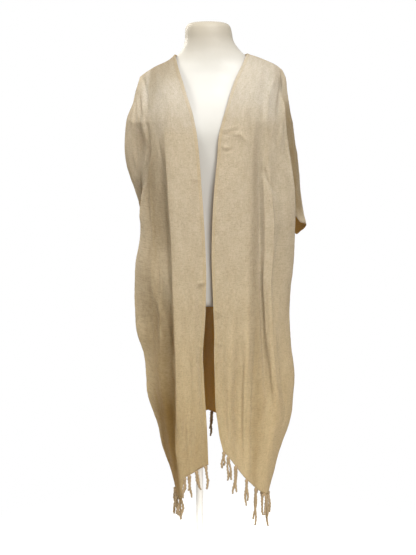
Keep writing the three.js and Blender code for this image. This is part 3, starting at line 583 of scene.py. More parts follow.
def colour(value, text, default):
    """A colour property in linear light."""
    return bpy.props.FloatVectorProperty(
        name=value, description=text, default=default, subtype="COLOR", size=3, min=0.0, max=1.0
    )


def amount(value, text, default):
    """A plain factor between 0 and 1."""
    return bpy.props.FloatProperty(name=value, description=text, default=default, min=0.0, max=1.0)


class ClothSettings(bpy.types.PropertyGroup):
    wall: millimetres("Cloth", "Thickness of the gauze", 0.7)
    turned_width: millimetres("Turned edge", "Width of the edge that is folded twice and stitched", 7.5)
    turned_rise: millimetres("Turned rise", "How far the folded edge stands above the cloth", 0.9)
    rumple: millimetres("Rumple", "Height of the fine, uneven waves in the gauze", 0.9)
    stitch_pitch: millimetres("Stitch pitch", "From one stitch to the next", 3.4)
    stitch_length: millimetres("Stitch length", "Length of a stitch", 2.2)
    light: colour("Light thread", "Colour of the cloth's palest threads", (0.765, 0.678, 0.505))
    dark: colour("Dark thread", "Colour between the threads", (0.345, 0.285, 0.170))
    glow: colour("Light through", "Colour of light that comes through the cloth", (0.720, 0.430, 0.070))
    sheer: amount("Sheer", "How much shows through the open weave", 0.22)


class FringeSettings(bpy.types.PropertyGroup):
    pitch: millimetres("Tassel pitch", "From one tassel to the next where none is placed by hand", 34)
    strand: millimetres("Strand", "Radius of a twisted strand", 3.1)
    wave: millimetres("Wave", "How far a strand wanders from its line", 2.0)
    knot: millimetres("Knot", "Radius of the knot at a tassel's root", 3.9)
    thread: colour("Thread", "Colour of the fringe", (0.300, 0.218, 0.124))


class FormSettings(bpy.types.PropertyGroup):
    sides: bpy.props.IntProperty(name="Sides", description="Points round the form", default=144, min=32)
    cover: colour("Cover", "Colour of the form's smooth cover", (0.372, 0.366, 0.347))
    # The neck colour is painted shade: a darker, warmer tone up the neck
    neck: colour("Neck", "Warmer colour that the cover turns to at the neck", (0.245, 0.212, 0.158))


class StandSettings(bpy.types.PropertyGroup):
    paint: colour("Paint", "Colour of the pole's satin paint", (0.740, 0.740, 0.725))
    base_paint: colour("Base paint", "Colour of the base's satin paint", (0.300, 0.295, 0.280))
    base_rim: millimetres("Base rim", "Radius of the rounding on the base's rim", 2)


class StageSettings(bpy.types.PropertyGroup):
    lens: number("Lens", "Focal length of the camera, mm", 64.9)
    camera_distance: metres("Camera distance", "From the form's axis to the camera", 2.6)
    camera_height: metres("Camera height", "Height of the camera", 1.18)
    key: number("Key", "Power of the main soft light, W", 183.0)
    fill: number("Fill", "Power of the low warm light, W", 20.0)
    rear: number("Rear", "Power of the soft light from behind, W", 92.0)
    side: number("Side", "Power of the soft light from the left, W", 64.0)
    surround: amount("Surround", "Strength of the even light from all round", 0.40)


def smoothstep(value, low, high):
    """0 below low, 1 above high, and the cubic 3t^2 - 2t^3 between."""
    t = np.clip((value - low) / (high - low), 0.0, 1.0)
    return t * t * (3.0 - 2.0 * t)


def bump(value, middle, reach):
    """A bell, exp of minus the squared distance from the middle over the reach."""
    return np.exp(-(((value - middle) / reach) ** 2))


def window(value, rise, fall):
    """1 between two soft ends: up over the two values of rise, and down over those of fall."""
    return smoothstep(value, *rise) * (1 - smoothstep(value, *fall))


def unit(vectors):
    """Vectors of the last axis, each divided by its length."""
    return vectors / np.maximum(np.linalg.norm(vectors, axis=-1, keepdims=True), 1e-9)


def round_angles(sides):
    """Angles of points spread evenly round a circle."""
    return np.arange(sides) * 2 * math.pi / sides


def points_at(at, keys, line):
    """Points of a line at some values of its keys, by straight steps between its points."""
    return np.stack([np.interp(at, keys, line[:, axis]) for axis in range(3)], -1)


def column(rows, at, index=1):
    """Smooth curve through a table: cubics whose end slopes are those between the rows either side."""
    table = np.asarray(rows, float)
    keys, values = table[:, 0], table[:, index]
    at = np.asarray(at, float)
    sign = 1.0 if keys[-1] > keys[0] else -1.0
    k = np.clip(np.searchsorted(sign * keys, sign * at) - 1, 0, len(keys) - 2)
    before = np.maximum(np.arange(len(keys)) - 1, 0)
    after = np.minimum(np.arange(len(keys)) + 1, len(keys) - 1)
    slope = (values[after] - values[before]) / (keys[after] - keys[before])
    span = keys[k + 1] - keys[k]
    t = np.clip((at - keys[k]) / span, 0.0, 1.0)
    from_start = values[k] * (1 + 2 * t) * (1 - t) ** 2 + slope[k] * span * t * (1 - t) ** 2
    from_end = values[k + 1] * t * t * (3 - 2 * t) + slope[k + 1] * span * t * t * (t - 1)
    return from_start + from_end


def fold_line(rows, height):
    """Distance out and depth of a fold line at each height, in the last axis."""
    return np.stack([column(rows, height, 1), column(rows, height, 2)], axis=-1)


def curve_at(points, place):
    """Centripetal Catmull-Rom curve through points (line, row, column, xy), at one place for each column."""
    padded = np.concatenate([2 * points[:1] - points[1:2], points, 2 * points[-1:] - points[-2:-1]])
    k = np.clip(np.floor(place).astype(int), 0, len(points) - 2)
    columns = np.arange(len(place))
    p0, p1, p2, p3 = (np.moveaxis(padded[k + step, :, columns], 0, 1) for step in range(4))
    steps = (p1 - p0, p2 - p1, p3 - p2)
    d0, d1, d2 = (np.sqrt(np.linalg.norm(step, axis=-1, keepdims=True)) for step in steps)
    d1 = np.where(d1 < 1e-4, 1.0, d1)
    d0 = np.where(d0 < 1e-4, d1, d0)
    d2 = np.where(d2 < 1e-4, d1, d2)
    start = ((p1 - p0) / d0 - (p2 - p0) / (d0 + d1) + (p2 - p1) / d1) * d1
    end = ((p2 - p1) / d1 - (p3 - p1) / (d1 + d2) + (p3 - p2) / d2) * d1
    t = (place - k)[None, :, None]
    return (
        p1 * (1 + 2 * t) * (1 - t) ** 2 + start * t * (1 - t) ** 2
        + p2 * t * t * (3 - 2 * t) + end * t * t * (t - 1)
    )


def sleeve_layer(side, tuck, fold, height, outwards):
    """Middle of a sleeve layer: between tuck and fold, pushed square to them to hold the sleeve open."""
    opened = smoothstep(YOKE_FOOT - height, -40, 190)[..., None]
    along = unit(fold - tuck)
    push = side["sleeve_opening"] * (SLEEVE_HOLD + (1 - SLEEVE_HOLD) * opened) * outwards
    square = np.stack([along[..., 1], -along[..., 0]], axis=-1)
    return tuck + (fold - tuck) * SLEEVE_MIDDLE + square * push


def section(side, height, place):
    """Half of the jacket's section: a curve through the fold lines.

    Above the underarm the sleeve's two layers are in it, and below it the side seam joins front and back.
    """
    names = ["edge", "bust", "panel_fold", "panel_valley", "middle_ridge", "middle_valley", "side_fold"]
    front = [fold_line(side[name], height) for name in names]
    seam = fold_line(side["side_seam"], height)
    fold = fold_line(side["sleeve_fold"], height)
    tuck = seam.copy()
    tuck[..., 1] += column(side["tuck_depth"], height)
    back = [fold_line(rows, height) for rows in (side["back_side_fold"], side["back_valley"], SHOULDER_BLADE)]
    centre = fold_line(CENTRE_BACK, height)
    beyond = back[-1] * np.array([-1.0, 1.0])
    sleeve = [sleeve_layer(side, seam, fold, height, 1), fold, sleeve_layer(side, tuck, fold, height, -1)]

    with_sleeve = curve_at(np.stack([*front, seam, *sleeve, tuck, *back, centre, beyond]), place)
    plain_front = curve_at(np.stack([*front, seam, *back, centre, beyond]), np.clip(place, 0, SIDE_SEAM))
    skipped = BACK_TUCK - SIDE_SEAM
    after = np.clip(place - skipped, SIDE_SEAM, CENTRE + 1 - skipped)
    plain_back = curve_at(np.stack([*front, tuck, *back, centre, beyond]), after)
    plain = np.where((place <= SIDE_SEAM)[None, :, None], plain_front, plain_back)
    below = smoothstep(side["underarm"] - height, -10, 50)[..., None]
    in_sleeve = ((place > SIDE_SEAM) & (place < BACK_TUCK))[None, :, None]
    return np.where(in_sleeve, with_sleeve, with_sleeve + (plain - with_sleeve) * below)


def pleat(side, out, height, place):
    """Soft pleats: a sine across the cloth that grows towards the hem, only where the cloth hangs flat."""
    grown = smoothstep(PLEAT_START - height, 0, PLEAT_START - PLEAT_FULL)
    flat = np.maximum(bump(place, 1.4, 1.3), bump(place, 13.8, 1.5))
    return PLEAT_DEPTH * grown * flat * np.sin(2 * math.pi * out / PLEAT_PITCH + side["pleat_phase"])


def hanging(side, height, place):
    """Points (row, column, xyz) of the cloth below the yoke, at a height for each row and column."""
    flat = section(side, height, place)
    depth = flat[..., 1] - pleat(side, flat[..., 0], height, place)
    return np.stack([side["hand"] * flat[..., 0], depth, height], axis=-1)


def yoke(side, drop, place):
    """Points of the yoke: superellipse arcs from the shoulder ridge or the nape down to its foot."""
    foot = section(side, np.full((1, len(place)), float(YOKE_FOOT)), place)[0]
    sleeve_out = float(column(side["sleeve_fold"], YOKE_FOOT, 1))
    tip_out, tip_height = side["ridge"][-1]
    in_front = place <= SLEEVE_FOLD
    inner_foot = np.where(in_front, column(side["edge"], YOKE_FOOT, 1), column(SHOULDER_BLADE, YOKE_FOOT, 1))
    nape = ~in_front & (foot[:, 0] < inner_foot)
    across = np.where(nape, 0.0, np.clip((foot[:, 0] - inner_foot) / (sleeve_out - inner_foot), 0, 1))
    behind = np.where(nape, np.clip(foot[:, 0] / inner_foot, 0, 1), 1.0)

    curve = np.where(nape, NAPE_CURVE + (YOKE_CURVE - NAPE_CURVE) * behind**2, YOKE_CURVE)
    angle = (drop * math.pi / 2)[:, None]
    fall = np.clip(np.cos(angle), 0, 1) ** (2 / curve)
    reach = np.sin(angle) ** (2 / curve)

    top_out = side["neck_out"] + (tip_out - side["neck_out"]) * across
    nape_height = NAPE_HEIGHT + (side["neck_height"] - NAPE_HEIGHT) * behind**2
    top_height = np.where(nape, nape_height, column(side["ridge"], top_out, 1))
    top_depth = np.where(nape, NAPE_DEPTH * np.sqrt(np.clip(1 - behind**2, 0, 1)), 0.0)
    height = YOKE_FOOT + (top_height - YOKE_FOOT) * fall
    edge_out = column(side["edge"], YOKE_FOOT + (side["neck_height"] - YOKE_FOOT) * fall, 1)
    blade_out = side["neck_out"] + (inner_foot - side["neck_out"]) * (1 - fall)
    inner = np.where(in_front, edge_out, blade_out)
    outer = column(side["sleeve_fold"], YOKE_FOOT + (tip_height - YOKE_FOOT) * fall, 1)
    x = np.where(nape, inner * behind, inner + (outer - inner) * across)
    depth = top_depth + (foot[:, 1] - top_depth) * reach
    return np.stack([side["hand"] * x, depth, height], axis=-1)


def cloth_grid(side, place):
    """Points (row, column, xyz) of the cloth, with rows shared out over yoke, sleeve and skirt."""
    yoke_rows = yoke(side, np.arange(YOKE_ROWS) / YOKE_ROWS, place)
    mouth, hem = column(side["mouth"], place), column(side["hem"], place)
    to_mouth = (np.arange(SLEEVE_ROWS) / SLEEVE_ROWS)[:, None]
    to_hem = (np.arange(HEM_ROWS + 1) / HEM_ROWS)[:, None]
    heights = np.concatenate([YOKE_FOOT + (mouth - YOKE_FOOT) * to_mouth, mouth + (hem - mouth) * to_hem])
    return np.concatenate([yoke_rows, hanging(side, heights, place)])


def grid_normals(grid):
    """Unit normals of a grid: the cross product of its differences along columns and rows."""
    across = np.gradient(grid, axis=1)
    down = np.gradient(grid, axis=0)
    return unit(np.cross(across, down))


def lengths_along(grid, axis):
    """Running length of a grid's lines along one axis, from their first point."""
    steps = np.linalg.norm(np.diff(grid, axis=axis), axis=-1)
    first = np.zeros_like(np.take(steps, [0], axis=axis))
    return np.concatenate([first, np.cumsum(steps, axis=axis)], axis=axis)


def soft_noise(u, v, cell_u, cell_v, seed):
    """Smooth value noise: seeded numbers on a lattice of cells, joined by cubic steps, between -1 and 1."""
    lattice = np.random.default_rng(seed).uniform(-1, 1, (257, 257))
    a, b = u / cell_u + 100, v / cell_v + 100
    i, j = np.floor(a).astype(int), np.floor(b).astype(int)
    s, t = smoothstep(a - i, 0, 1), smoothstep(b - j, 0, 1)
    i, j = i % 256, j % 256
    low = lattice[i, j] * (1 - s) + lattice[i + 1, j] * s
    high = lattice[i, j + 1] * (1 - s) + lattice[i + 1, j + 1] * s
    return low * (1 - t) + high * t


def crease_relief(table, across, height):
    """Troughs and ridges: for each row of the table a bell round a bowed line, fading at its ends."""
    relief = np.zeros_like(across)
    for from_out, from_height, to_out, to_height, depth, width, bow in table:
        line = np.array([to_out - from_out, to_height - from_height], float)
        length = np.hypot(*line)
        along = ((across - from_out) * line[0] + (height - from_height) * line[1]) / length**2
        aside = ((across - from_out) * line[1] - (height - from_height) * line[0]) / length
        aside = aside - bow * np.sin(math.pi * np.clip(along, 0, 1))
        relief += depth * bump(aside, 0, width) * window(along, CREASE_START, CREASE_FINISH)
    return relief


def tuck_relief(table, place, height):
    """Folds along the section's fold lines: a bell across places, fading above and below its heights."""
    relief = np.zeros_like(height)
    for top, bottom, at, reach, depth in table:
        fade = TUCK_FADE * (top - bottom)
        ends = window(height, (bottom, bottom + fade), (top - fade, top))
        relief += depth * bump(place, at, reach) * ends
    return relief


def noise_sum(table, across, height, seed):
    """Sum of soft noises, one for each row of the table, each with the next seed."""
    total = np.zeros_like(across)
    for order, (weight, wide, tall, turned) in enumerate(table):
        u, v = across + turned * height, height - turned * across
        total += weight * soft_noise(u, v, wide, tall, seed + order)
    return total


def gauze_rumple(across, height, seed):
    """Fine waves of limp gauze: upright ripples that grow below the yoke, and smaller puckers."""
    ripples = noise_sum(RIPPLES, across, height, seed)
    puckers = noise_sum(PUCKERS, across, height, seed + len(RIPPLES))
    grown = RIPPLE_LEAST + (1 - RIPPLE_LEAST) * smoothstep(YOKE_FOOT - height, -60, 500)
    return (ripples * grown + puckers) / RIPPLE_TOTAL


def turned_edge(across, width, rise):
    """Profile of the twice-folded edge: a flat band that ends in a dip where it is stitched down."""
    band = 1 - smoothstep(across, width - EDGE_STEP, width + EDGE_STEP)
    return rise * (band - SEAM_DIP * bump(across, width - SEAM_INSET, SEAM_REACH))


def edge_tone(across, width):
    """How dense the turned edge looks: a little over its band, most along its seam."""
    band = 1 - smoothstep(across, width - TONE_STEP, width + TONE_STEP)
    return BAND_TONE * band + (1 - BAND_TONE) * bump(across, width - SEAM_INSET, SEAM_TONE_REACH)


def even_places(first, last, steps):
    """Places from first to last in even steps."""
    return np.linspace(first, last, int(round((last - first) * steps)) + 1)


def mesh_object(name, points, faces):
    """A smooth mesh object at the origin from points in metres and lists of point numbers."""
    mesh = bpy.data.meshes.new(name)
    mesh.from_pydata(points.reshape(-1, 3).tolist(), [], faces)
    mesh.validate()
    mesh.polygons.foreach_set("use_smooth", [True] * len(mesh.polygons))
    piece = bpy.data.objects.new(name, mesh)
    bpy.context.scene.collection.objects.link(piece)
    return piece


def grid_faces(rows, columns, closed=False, flip=False):
    """Four-sided faces between neighbouring points of a grid, joined up round where it is closed."""
    last = columns if closed else columns - 1
    r, c = np.meshgrid(np.arange(rows - 1), np.arange(last), indexing="ij")
    here, right = r * columns + c, r * columns + (c + 1) % columns
    faces = np.stack([here, right, right + columns, here + columns], -1)
    return faces[..., ::-1] if flip else faces


def add_maps(piece, used, u, v, masks):
    """Gives a piece a UV map in metres and its named masks, from values at its grid's points."""
    mesh = piece.data
    numbers = np.zeros(len(mesh.loops), int)
    mesh.loops.foreach_get("vertex_index", numbers)
    flat_u, flat_v = u.ravel()[used] * MM, v.ravel()[used] * MM
    layer = mesh.uv_layers.new(name="cloth")
    layer.data.foreach_set("uv", np.stack([flat_u[numbers], flat_v[numbers]], -1).ravel())
    for name, values in masks.items():
        mask = mesh.attributes.new(name, "FLOAT", "POINT")
        mask.data.foreach_set("value", values.ravel()[used].astype(np.float32))


def cloth_cells(grid, in_sleeve):
    """Which cells of a grid hold cloth: all but the sleeve's below its mouth."""
    cells = np.ones((len(grid) - 1, len(in_sleeve)), bool)
    cells[MOUTH_ROW:, in_sleeve] = False
    return cells


def cloth_piece(name, grid, across, cells, flip, masks):
    """The cloth where `cells` is true, with its maps, thickened inwards to a closed wall.

    Its map runs by the mean distance across over the sleeve's rows, and by the length down the cloth.
    """
    down = lengths_along(grid, 0)
    u = np.broadcast_to(across[YOKE_ROWS : MOUTH_ROW + 1].mean(0), across.shape)
    v = down[YOKE_ROWS] - down
    faces = grid_faces(*grid.shape[:2], flip=flip)[cells].reshape(-1, 4)
    used, numbered = np.unique(faces, return_inverse=True)
    piece = mesh_object(name, grid.reshape(-1, 3)[used] * MM, numbered.reshape(-1, 4).tolist())
    add_maps(piece, used, u, v, masks)
    thicken(piece, bpy.context.scene.kaftan_cloth.wall)
    return piece


def thicken(piece, wall):
    """Gives a sheet a wall behind its outer face, and marks its inner points in the `inner` mask.

    The modifier keeps the first points for the inner face.
    """
    count = len(piece.data.vertices)
    solidify = piece.modifiers.new("wall", "SOLIDIFY")
    solidify.thickness = wall
    solidify.offset = -1.0
    apply_modifiers(piece)
    inner = (np.arange(len(piece.data.vertices)) < count).astype(np.float32)
    mask = piece.data.attributes.new("inner", "FLOAT", "POINT")
    mask.data.foreach_set("value", inner)


def apply_modifiers(piece):
    """Makes a piece's modifiers part of its mesh."""
    evaluated = piece.evaluated_get(bpy.context.evaluated_depsgraph_get())
    mesh = bpy.data.meshes.new_from_object(evaluated)
    old = piece.data
    piece.modifiers.clear()
    piece.data = mesh
    bpy.data.meshes.remove(old)


# Node trees


class Tree:
    """Short calls for building a node tree: `add` makes a node, and links or sets its inputs.

    An input is named with underscores for its spaces, or by its number after the letter i.
    """

    def __init__(self, tree):
        self.tree = tree

    def add(self, kind, settings=None, **inputs):
        node = self.tree.nodes.new(kind)
        for key, value in (settings or {}).items():
            setattr(node, key, value)
        for key, value in inputs.items():
            self.feed(node, key, value)
        return node

    def feed(self, node, key, value):
        numbered = key[0] == "i" and key[1:].isdigit()
        socket = node.inputs[int(key[1:]) if numbered else key.replace("_", " ")]
        if isinstance(value, bpy.types.NodeSocket):
            self.tree.links.new(value, socket)
        else:
            socket.default_value = value

    def maths(self, operation, a, b=0.0, clamp=False):
        node = self.add("ShaderNodeMath", {"operation": operation, "use_clamp": clamp}, i0=a, i1=b)
        return node.outputs[0]

    def weighted(self, *terms, clamp=False):
        total, *others = [self.maths("MULTIPLY", value, weight) for value, weight in terms]
        for other in others:
            total = self.maths("ADD", total, other, clamp=clamp)
        return total

    def mix(self, factor, a, b, blend="MIX"):
        settings = {"data_type": "RGBA", "blend_type": blend}
        return self.add("ShaderNodeMix", settings, i0=factor, i6=a, i7=b).outputs[2]

    def tinted(self, factor, base, tint):
        return self.mix(factor, base, tint, "MULTIPLY")

    def ramp(self, value, low, high, to_low=0.0, to_high=1.0):
        node = self.add(
            "ShaderNodeMapRange", {"interpolation_type": "SMOOTHSTEP"},
            Value=value, From_Min=low, From_Max=high, To_Min=to_low, To_Max=to_high,
        )
        return node.outputs[0]

    def noise(self, vector, scale, detail=2.0, roughness=0.5, output=0):
        node = self.add(
            "ShaderNodeTexNoise", Vector=vector, Scale=scale, Detail=detail, Roughness=roughness
        )
        return node.outputs[output]

    def stretched(self, vector, x, y, z):
        node = self.add("ShaderNodeMapping", {"vector_type": "POINT"}, Vector=vector, Scale=(x, y, z))
        return node.outputs[0]

    def place(self):
        return self.add("ShaderNodeTexCoord").outputs["Object"]

    def part(self, vector, axis):
        return self.add("ShaderNodeSeparateXYZ", Vector=vector).outputs[axis]

    def mask(self, name):
        return self.add("ShaderNodeAttribute", {"attribute_name": name}).outputs["Fac"]

    def relief(self, height, strength, distance):
        return self.add("ShaderNodeBump", Strength=strength, Distance=distance, Height=height).outputs[0]

    def layered(self, factor, lower, upper):
        return self.add("ShaderNodeMixShader", i0=factor, i1=lower.outputs[0], i2=upper.outputs[0])


def rgba(value):
    """A colour with full alpha."""
    return (value[0], value[1], value[2], 1.0)


def group_tree(name, inputs, outputs):
    """A shader node group with the named sockets, and its inner input and output nodes."""
    group = bpy.data.node_groups.new(name, "ShaderNodeTree")
    for label, kind, default in inputs:
        socket = group.interface.new_socket(name=label, in_out="INPUT", socket_type=kind)
        socket.default_value = default
    for label, kind in outputs:
        group.interface.new_socket(name=label, in_out="OUTPUT", socket_type=kind)
    tree = Tree(group)
    return tree, tree.add("NodeGroupInput"), tree.add("NodeGroupOutput")


def gauze_weave_group():
    """Gauze: slubby threads both ways from stretched noise, and the open gaps between them."""
    found = bpy.data.node_groups.get("gauze_weave")
    if found:
        return found
    inputs = [
        ("Vector", "NodeSocketVector", (0, 0, 0)),
        ("Thread pitch", "NodeSocketFloat", THREAD_PITCH),
        ("Slub", "NodeSocketFloat", 0.6),
        ("Light", "NodeSocketColor", (1, 1, 1, 1)),
        ("Dark", "NodeSocketColor", (0, 0, 0, 1)),
    ]
    outputs = [
        ("Color", "NodeSocketColor"), ("Height", "NodeSocketFloat"), ("Open", "NodeSocketFloat"),
    ]
    tree, given, result = group_tree("gauze_weave", inputs, outputs)
    vector, pitch = given.outputs["Vector"], given.outputs["Thread pitch"]
    drift = tree.noise(vector, 60.0, 1.0, output=1)
    wobble = tree.add("ShaderNodeVectorMath", {"operation": "SCALE"}, i0=drift, Scale=0.0016).outputs[0]
    moved = tree.add("ShaderNodeVectorMath", {"operation": "ADD"}, i0=vector, i1=wobble).outputs[0]
    turns = tree.maths("DIVIDE", 2 * math.pi, pitch)
    warp, weft = (
        tree.maths("SINE", tree.maths("MULTIPLY", tree.part(moved, axis), turns)) for axis in (0, 1)
    )
    upright = tree.noise(tree.stretched(moved, 300, 70, 1), 1.0, 3.0, 0.65)
    level = tree.noise(tree.stretched(moved, 95, 340, 1), 1.0, 3.0, 0.65)
    crepe = tree.noise(moved, 330.0, 3.0, 0.6)
    slubs = tree.weighted((upright, 0.3), (level, 0.34), (crepe, 0.36))
    broad = tree.noise(tree.stretched(moved, 58, 20, 1), 1.0, 3.0, 0.6)
    threads = tree.maths("MULTIPLY", tree.maths("ADD", warp, weft), 0.25)
    strength = tree.maths("MULTIPLY", tree.maths("SUBTRACT", slubs, 0.5), given.outputs["Slub"])
    height = tree.maths("ADD", threads, tree.maths("MULTIPLY", strength, 4.6))
    shade = tree.maths("ADD", tree.maths("MULTIPLY", height, 0.5), 0.5, clamp=True)
    mottled = tree.weighted((shade, 0.66), (broad, 0.46), clamp=True)
    gaps = tree.ramp(shade, 0.55, 0.15)
    tree.feed(result, "Color", tree.mix(mottled, given.outputs["Dark"], given.outputs["Light"]))
    tree.feed(result, "Height", height)
    tree.feed(result, "Open", gaps)
    return tree.tree


def new_material(name):
    """An empty material with an output node."""
    material = bpy.data.materials.new(name)
    material.use_nodes = True
    material.node_tree.nodes.clear()
    tree = Tree(material.node_tree)
    return material, tree, tree.add("ShaderNodeOutputMaterial")


def cloth_tone(tree, woven, edge):
    """The woven colour under its tints: painted light by height and paler on the yoke, darker at edges, and
    painted shade on the inner faces and in recesses.
    """
    place = tree.place()
    height = tree.part(place, 2)
    cloudy = tree.maths("MULTIPLY", tree.maths("SUBTRACT", tree.noise(place, 14.0, 2.0), 0.5), 0.09)
    # Painted light on the yoke's front, where light from above falls and the pale form lies under the cloth
    yoke_light = tree.ramp(tree.maths("ADD", height, cloudy), 1.215, 1.33)
    facing = tree.ramp(tree.part(place, 1), 0.01, -0.06)
    off_sleeves = tree.ramp(tree.maths("ABSOLUTE", tree.part(place, 0)), 0.20, 0.15)
    yoke_light = tree.maths("MULTIPLY", yoke_light, tree.maths("MULTIPLY", facing, off_sleeves))
    # Painted light by height: a little cooler above, warmer and darker towards the hem
    light_by_height = tree.mix(tree.ramp(height, 1.08, 0.46), UPPER_LIGHT_TINT, LOWER_LIGHT_TINT)
    tone = tree.tinted(1.0, woven, tree.mix(yoke_light, light_by_height, YOKE_LIGHT_TINT))
    tone = tree.tinted(tree.maths("MULTIPLY", edge, 0.9), tone, EDGE_TINT)
    # Painted shade on the inner faces, away from the turned edge
    shaded_inside = tree.maths("MULTIPLY", tree.mask("inner"), tree.ramp(edge, 0.3, 0.05))
    tone = tree.tinted(shaded_inside, tone, INNER_SHADE_TINT)
    # Painted shade in the recesses, from the `shade` mask
    return tree.tinted(tree.mask("shade"), tone, SHADE_TINT)


def gauze_material(settings):
    """Cloth: woven colour, light through it from behind, open weave, and a denser turned edge."""
    material, tree, result = new_material("gauze")
    weave = tree.add(
        "ShaderNodeGroup", {"node_tree": gauze_weave_group()},
        Vector=tree.add("ShaderNodeUVMap", {"uv_map": "cloth"}).outputs[0],
        Thread_pitch=THREAD_PITCH, Slub=0.76, Light=rgba(settings.light), Dark=rgba(settings.dark),
    )
    edge = tree.mask("edge")
    relief = tree.relief(weave.outputs["Height"], 0.75, WEAVE_RELIEF)
    cloth = tree.add(
        "ShaderNodeBsdfPrincipled", Base_Color=cloth_tone(tree, weave.outputs["Color"], edge),
        Roughness=0.88, Normal=relief, Sheen_Weight=0.18, Sheen_Roughness=0.5, Specular_IOR_Level=0.18,
    )
    through = tree.add("ShaderNodeBsdfTranslucent", Color=rgba(settings.glow), Normal=relief)
    clear = tree.add("ShaderNodeBsdfTransparent", Color=CLEAR_TINT)
    dense = tree.maths("SUBTRACT", 1.0, tree.maths("MULTIPLY", edge, 0.9))
    sheer = tree.maths("ADD", tree.maths("MULTIPLY", weave.outputs["Open"], 0.20), settings.sheer * 0.5)
    sheer = tree.maths("MULTIPLY", sheer, dense)
    whole = tree.layered(sheer, tree.layered(0.33, cloth, through), clear)
    tree.feed(result, "Surface", whole.outputs[0])
    return material


def thread_material(settings):
    """Fringe and stitches: twisted thread with fine streaks along it."""
    material, tree, result = new_material("fringe_thread")
    place = tree.place()
    fibre = tree.noise(tree.stretched(place, 900, 900, 160), 1.0, 3.0, 0.6)
    tone = tree.noise(tree.stretched(place, 40, 40, 22), 1.0, 2.0)
    darker = rgba([DARK_THREAD * part for part in settings.thread])
    shade = tree.weighted((fibre, 0.7), (tone, 0.4), clamp=True)
    thread = tree.add(
        "ShaderNodeBsdfPrincipled", Base_Color=tree.mix(shade, darker, rgba(settings.thread)),
        Roughness=0.9, Normal=tree.relief(fibre, 0.5, 0.0005), Sheen_Weight=0.2, Specular_IOR_Level=0.15,
    )
    tree.feed(result, "Surface", thread.outputs[0])
    return material


def cover_material(settings):
    """The form's smooth cover: fine close knit, with painted shade that comes in up the neck, a darker and
    warmer tone.
    """
    material, tree, result = new_material("form_cover")
    place = tree.place()
    mottle = tree.noise(place, 22.0, 3.0)
    knit = tree.noise(tree.stretched(place, 1400, 1400, 1000), 1.0, 1.0)
    uneven = tree.maths("ADD", tree.part(place, 2), tree.maths("MULTIPLY", mottle, 0.02))
    # Painted shade up the neck: a darker, warmer tone
    neck = tree.ramp(uneven, 1.38, 1.535)
    shaded = tree.mix(tree.maths("MULTIPLY", mottle, 0.25), rgba(settings.cover), SHADED_COVER)
    tinted = tree.mix(tree.maths("MULTIPLY", neck, 0.8), shaded, rgba(settings.neck))
    cover = tree.add(
        "ShaderNodeBsdfPrincipled", Base_Color=tinted, Roughness=tree.ramp(mottle, 0.3, 0.7, 0.5, 0.62),
        Normal=tree.relief(knit, 0.12, 0.0003), Sheen_Weight=0.08, Specular_IOR_Level=0.3,
    )
    tree.feed(result, "Surface", cover.outputs[0])
    return material


def paint_material(settings):
    """The stand's satin paint with faint orange-peel: grey on the base and paler above it."""
    material, tree, result = new_material("stand_paint")
    place = tree.place()
    cloud = tree.noise(place, 9.0, 3.0)
    above_base = tree.ramp(tree.part(place, 2), 0.010, 0.025)
    paint = tree.mix(above_base, rgba(settings.base_paint), rgba(settings.paint))
    uneven = tree.mix(cloud, tree.mix(0.1, paint, (0, 0, 0, 1)), paint)
    satin = tree.add(
        "ShaderNodeBsdfPrincipled", Base_Color=uneven, Roughness=tree.ramp(cloud, 0.3, 0.7, 0.34, 0.46),
        Normal=tree.relief(tree.noise(place, 420.0, 2.0), 0.08, 0.0003), Coat_Weight=0.15,
        Coat_Roughness=0.25,
    )
    tree.feed(result, "Surface", satin.outputs[0])
    return material


def material_for(kind):
    """The shared material of a kind, made the first time it is asked for."""
    scene = bpy.context.scene
    makers = {
        "gauze": lambda: gauze_material(scene.kaftan_cloth),
        "fringe_thread": lambda: thread_material(scene.kaftan_fringe),
        "form_cover": lambda: cover_material(scene.kaftan_form),
        "stand_paint": lambda: paint_material(scene.kaftan_stand),
    }
    return bpy.data.materials.get(kind) or makers[kind]()


def finish_piece(piece, kind, slot, *nodes):
    """Gives a piece its material, lets it ride on the body and stand for its CAD nodes; the slot is not used.
    """
    piece.data.materials.clear()
    piece.data.materials.append(material_for(kind))
    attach(piece, "root")
    if nodes:
        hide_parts(*nodes)
    return piece


# Jacket


def front_places():
    """Places of a front's columns: close together over the turned edge, then even."""
    even = even_places(0, SLEEVE_FOLD, FRONT_STEPS)
    return np.concatenate([TURNED_PLACES, even[even > TURNED_PLACES[-1]]])


def front_surface(side, creases, tucks, seed):
    """Places, points and run from the edge of one front, pushed out by edge, creases and rumple."""
    settings = bpy.context.scene.kaftan_cloth
    place = front_places()
    grid = cloth_grid(side, place)
    across = lengths_along(grid, 1)
    height = grid[..., 2]
    normals = grid_normals(grid) * -side["hand"]
    calm = smoothstep(across, 0, CALM_EDGE) * (1 - 0.9 * smoothstep(place, *CALM_FOLD))
    rumple = settings.rumple / MM * gauze_rumple(across, height, seed)
    rumple = rumple * (CALM_LEAST + (1 - CALM_LEAST) * calm)
    folds = CREASE_DEPTH * crease_relief(creases, across, height) * (1 - smoothstep(place, *CREASE_PLACES))
    folds = folds + tuck_relief(tucks, place, height)
    closed_top = smoothstep(np.arange(len(grid)), 0, TOP_ROWS)[:, None]
    joined = 1 - smoothstep(place, SLEEVE_FOLD - JOIN_PLACES, SLEEVE_FOLD)
    lift = turned_edge(across, settings.turned_width / MM, settings.turned_rise / MM)
    lift = lift + (rumple + folds) * closed_top * joined
    return place, grid + normals * lift[..., None], across


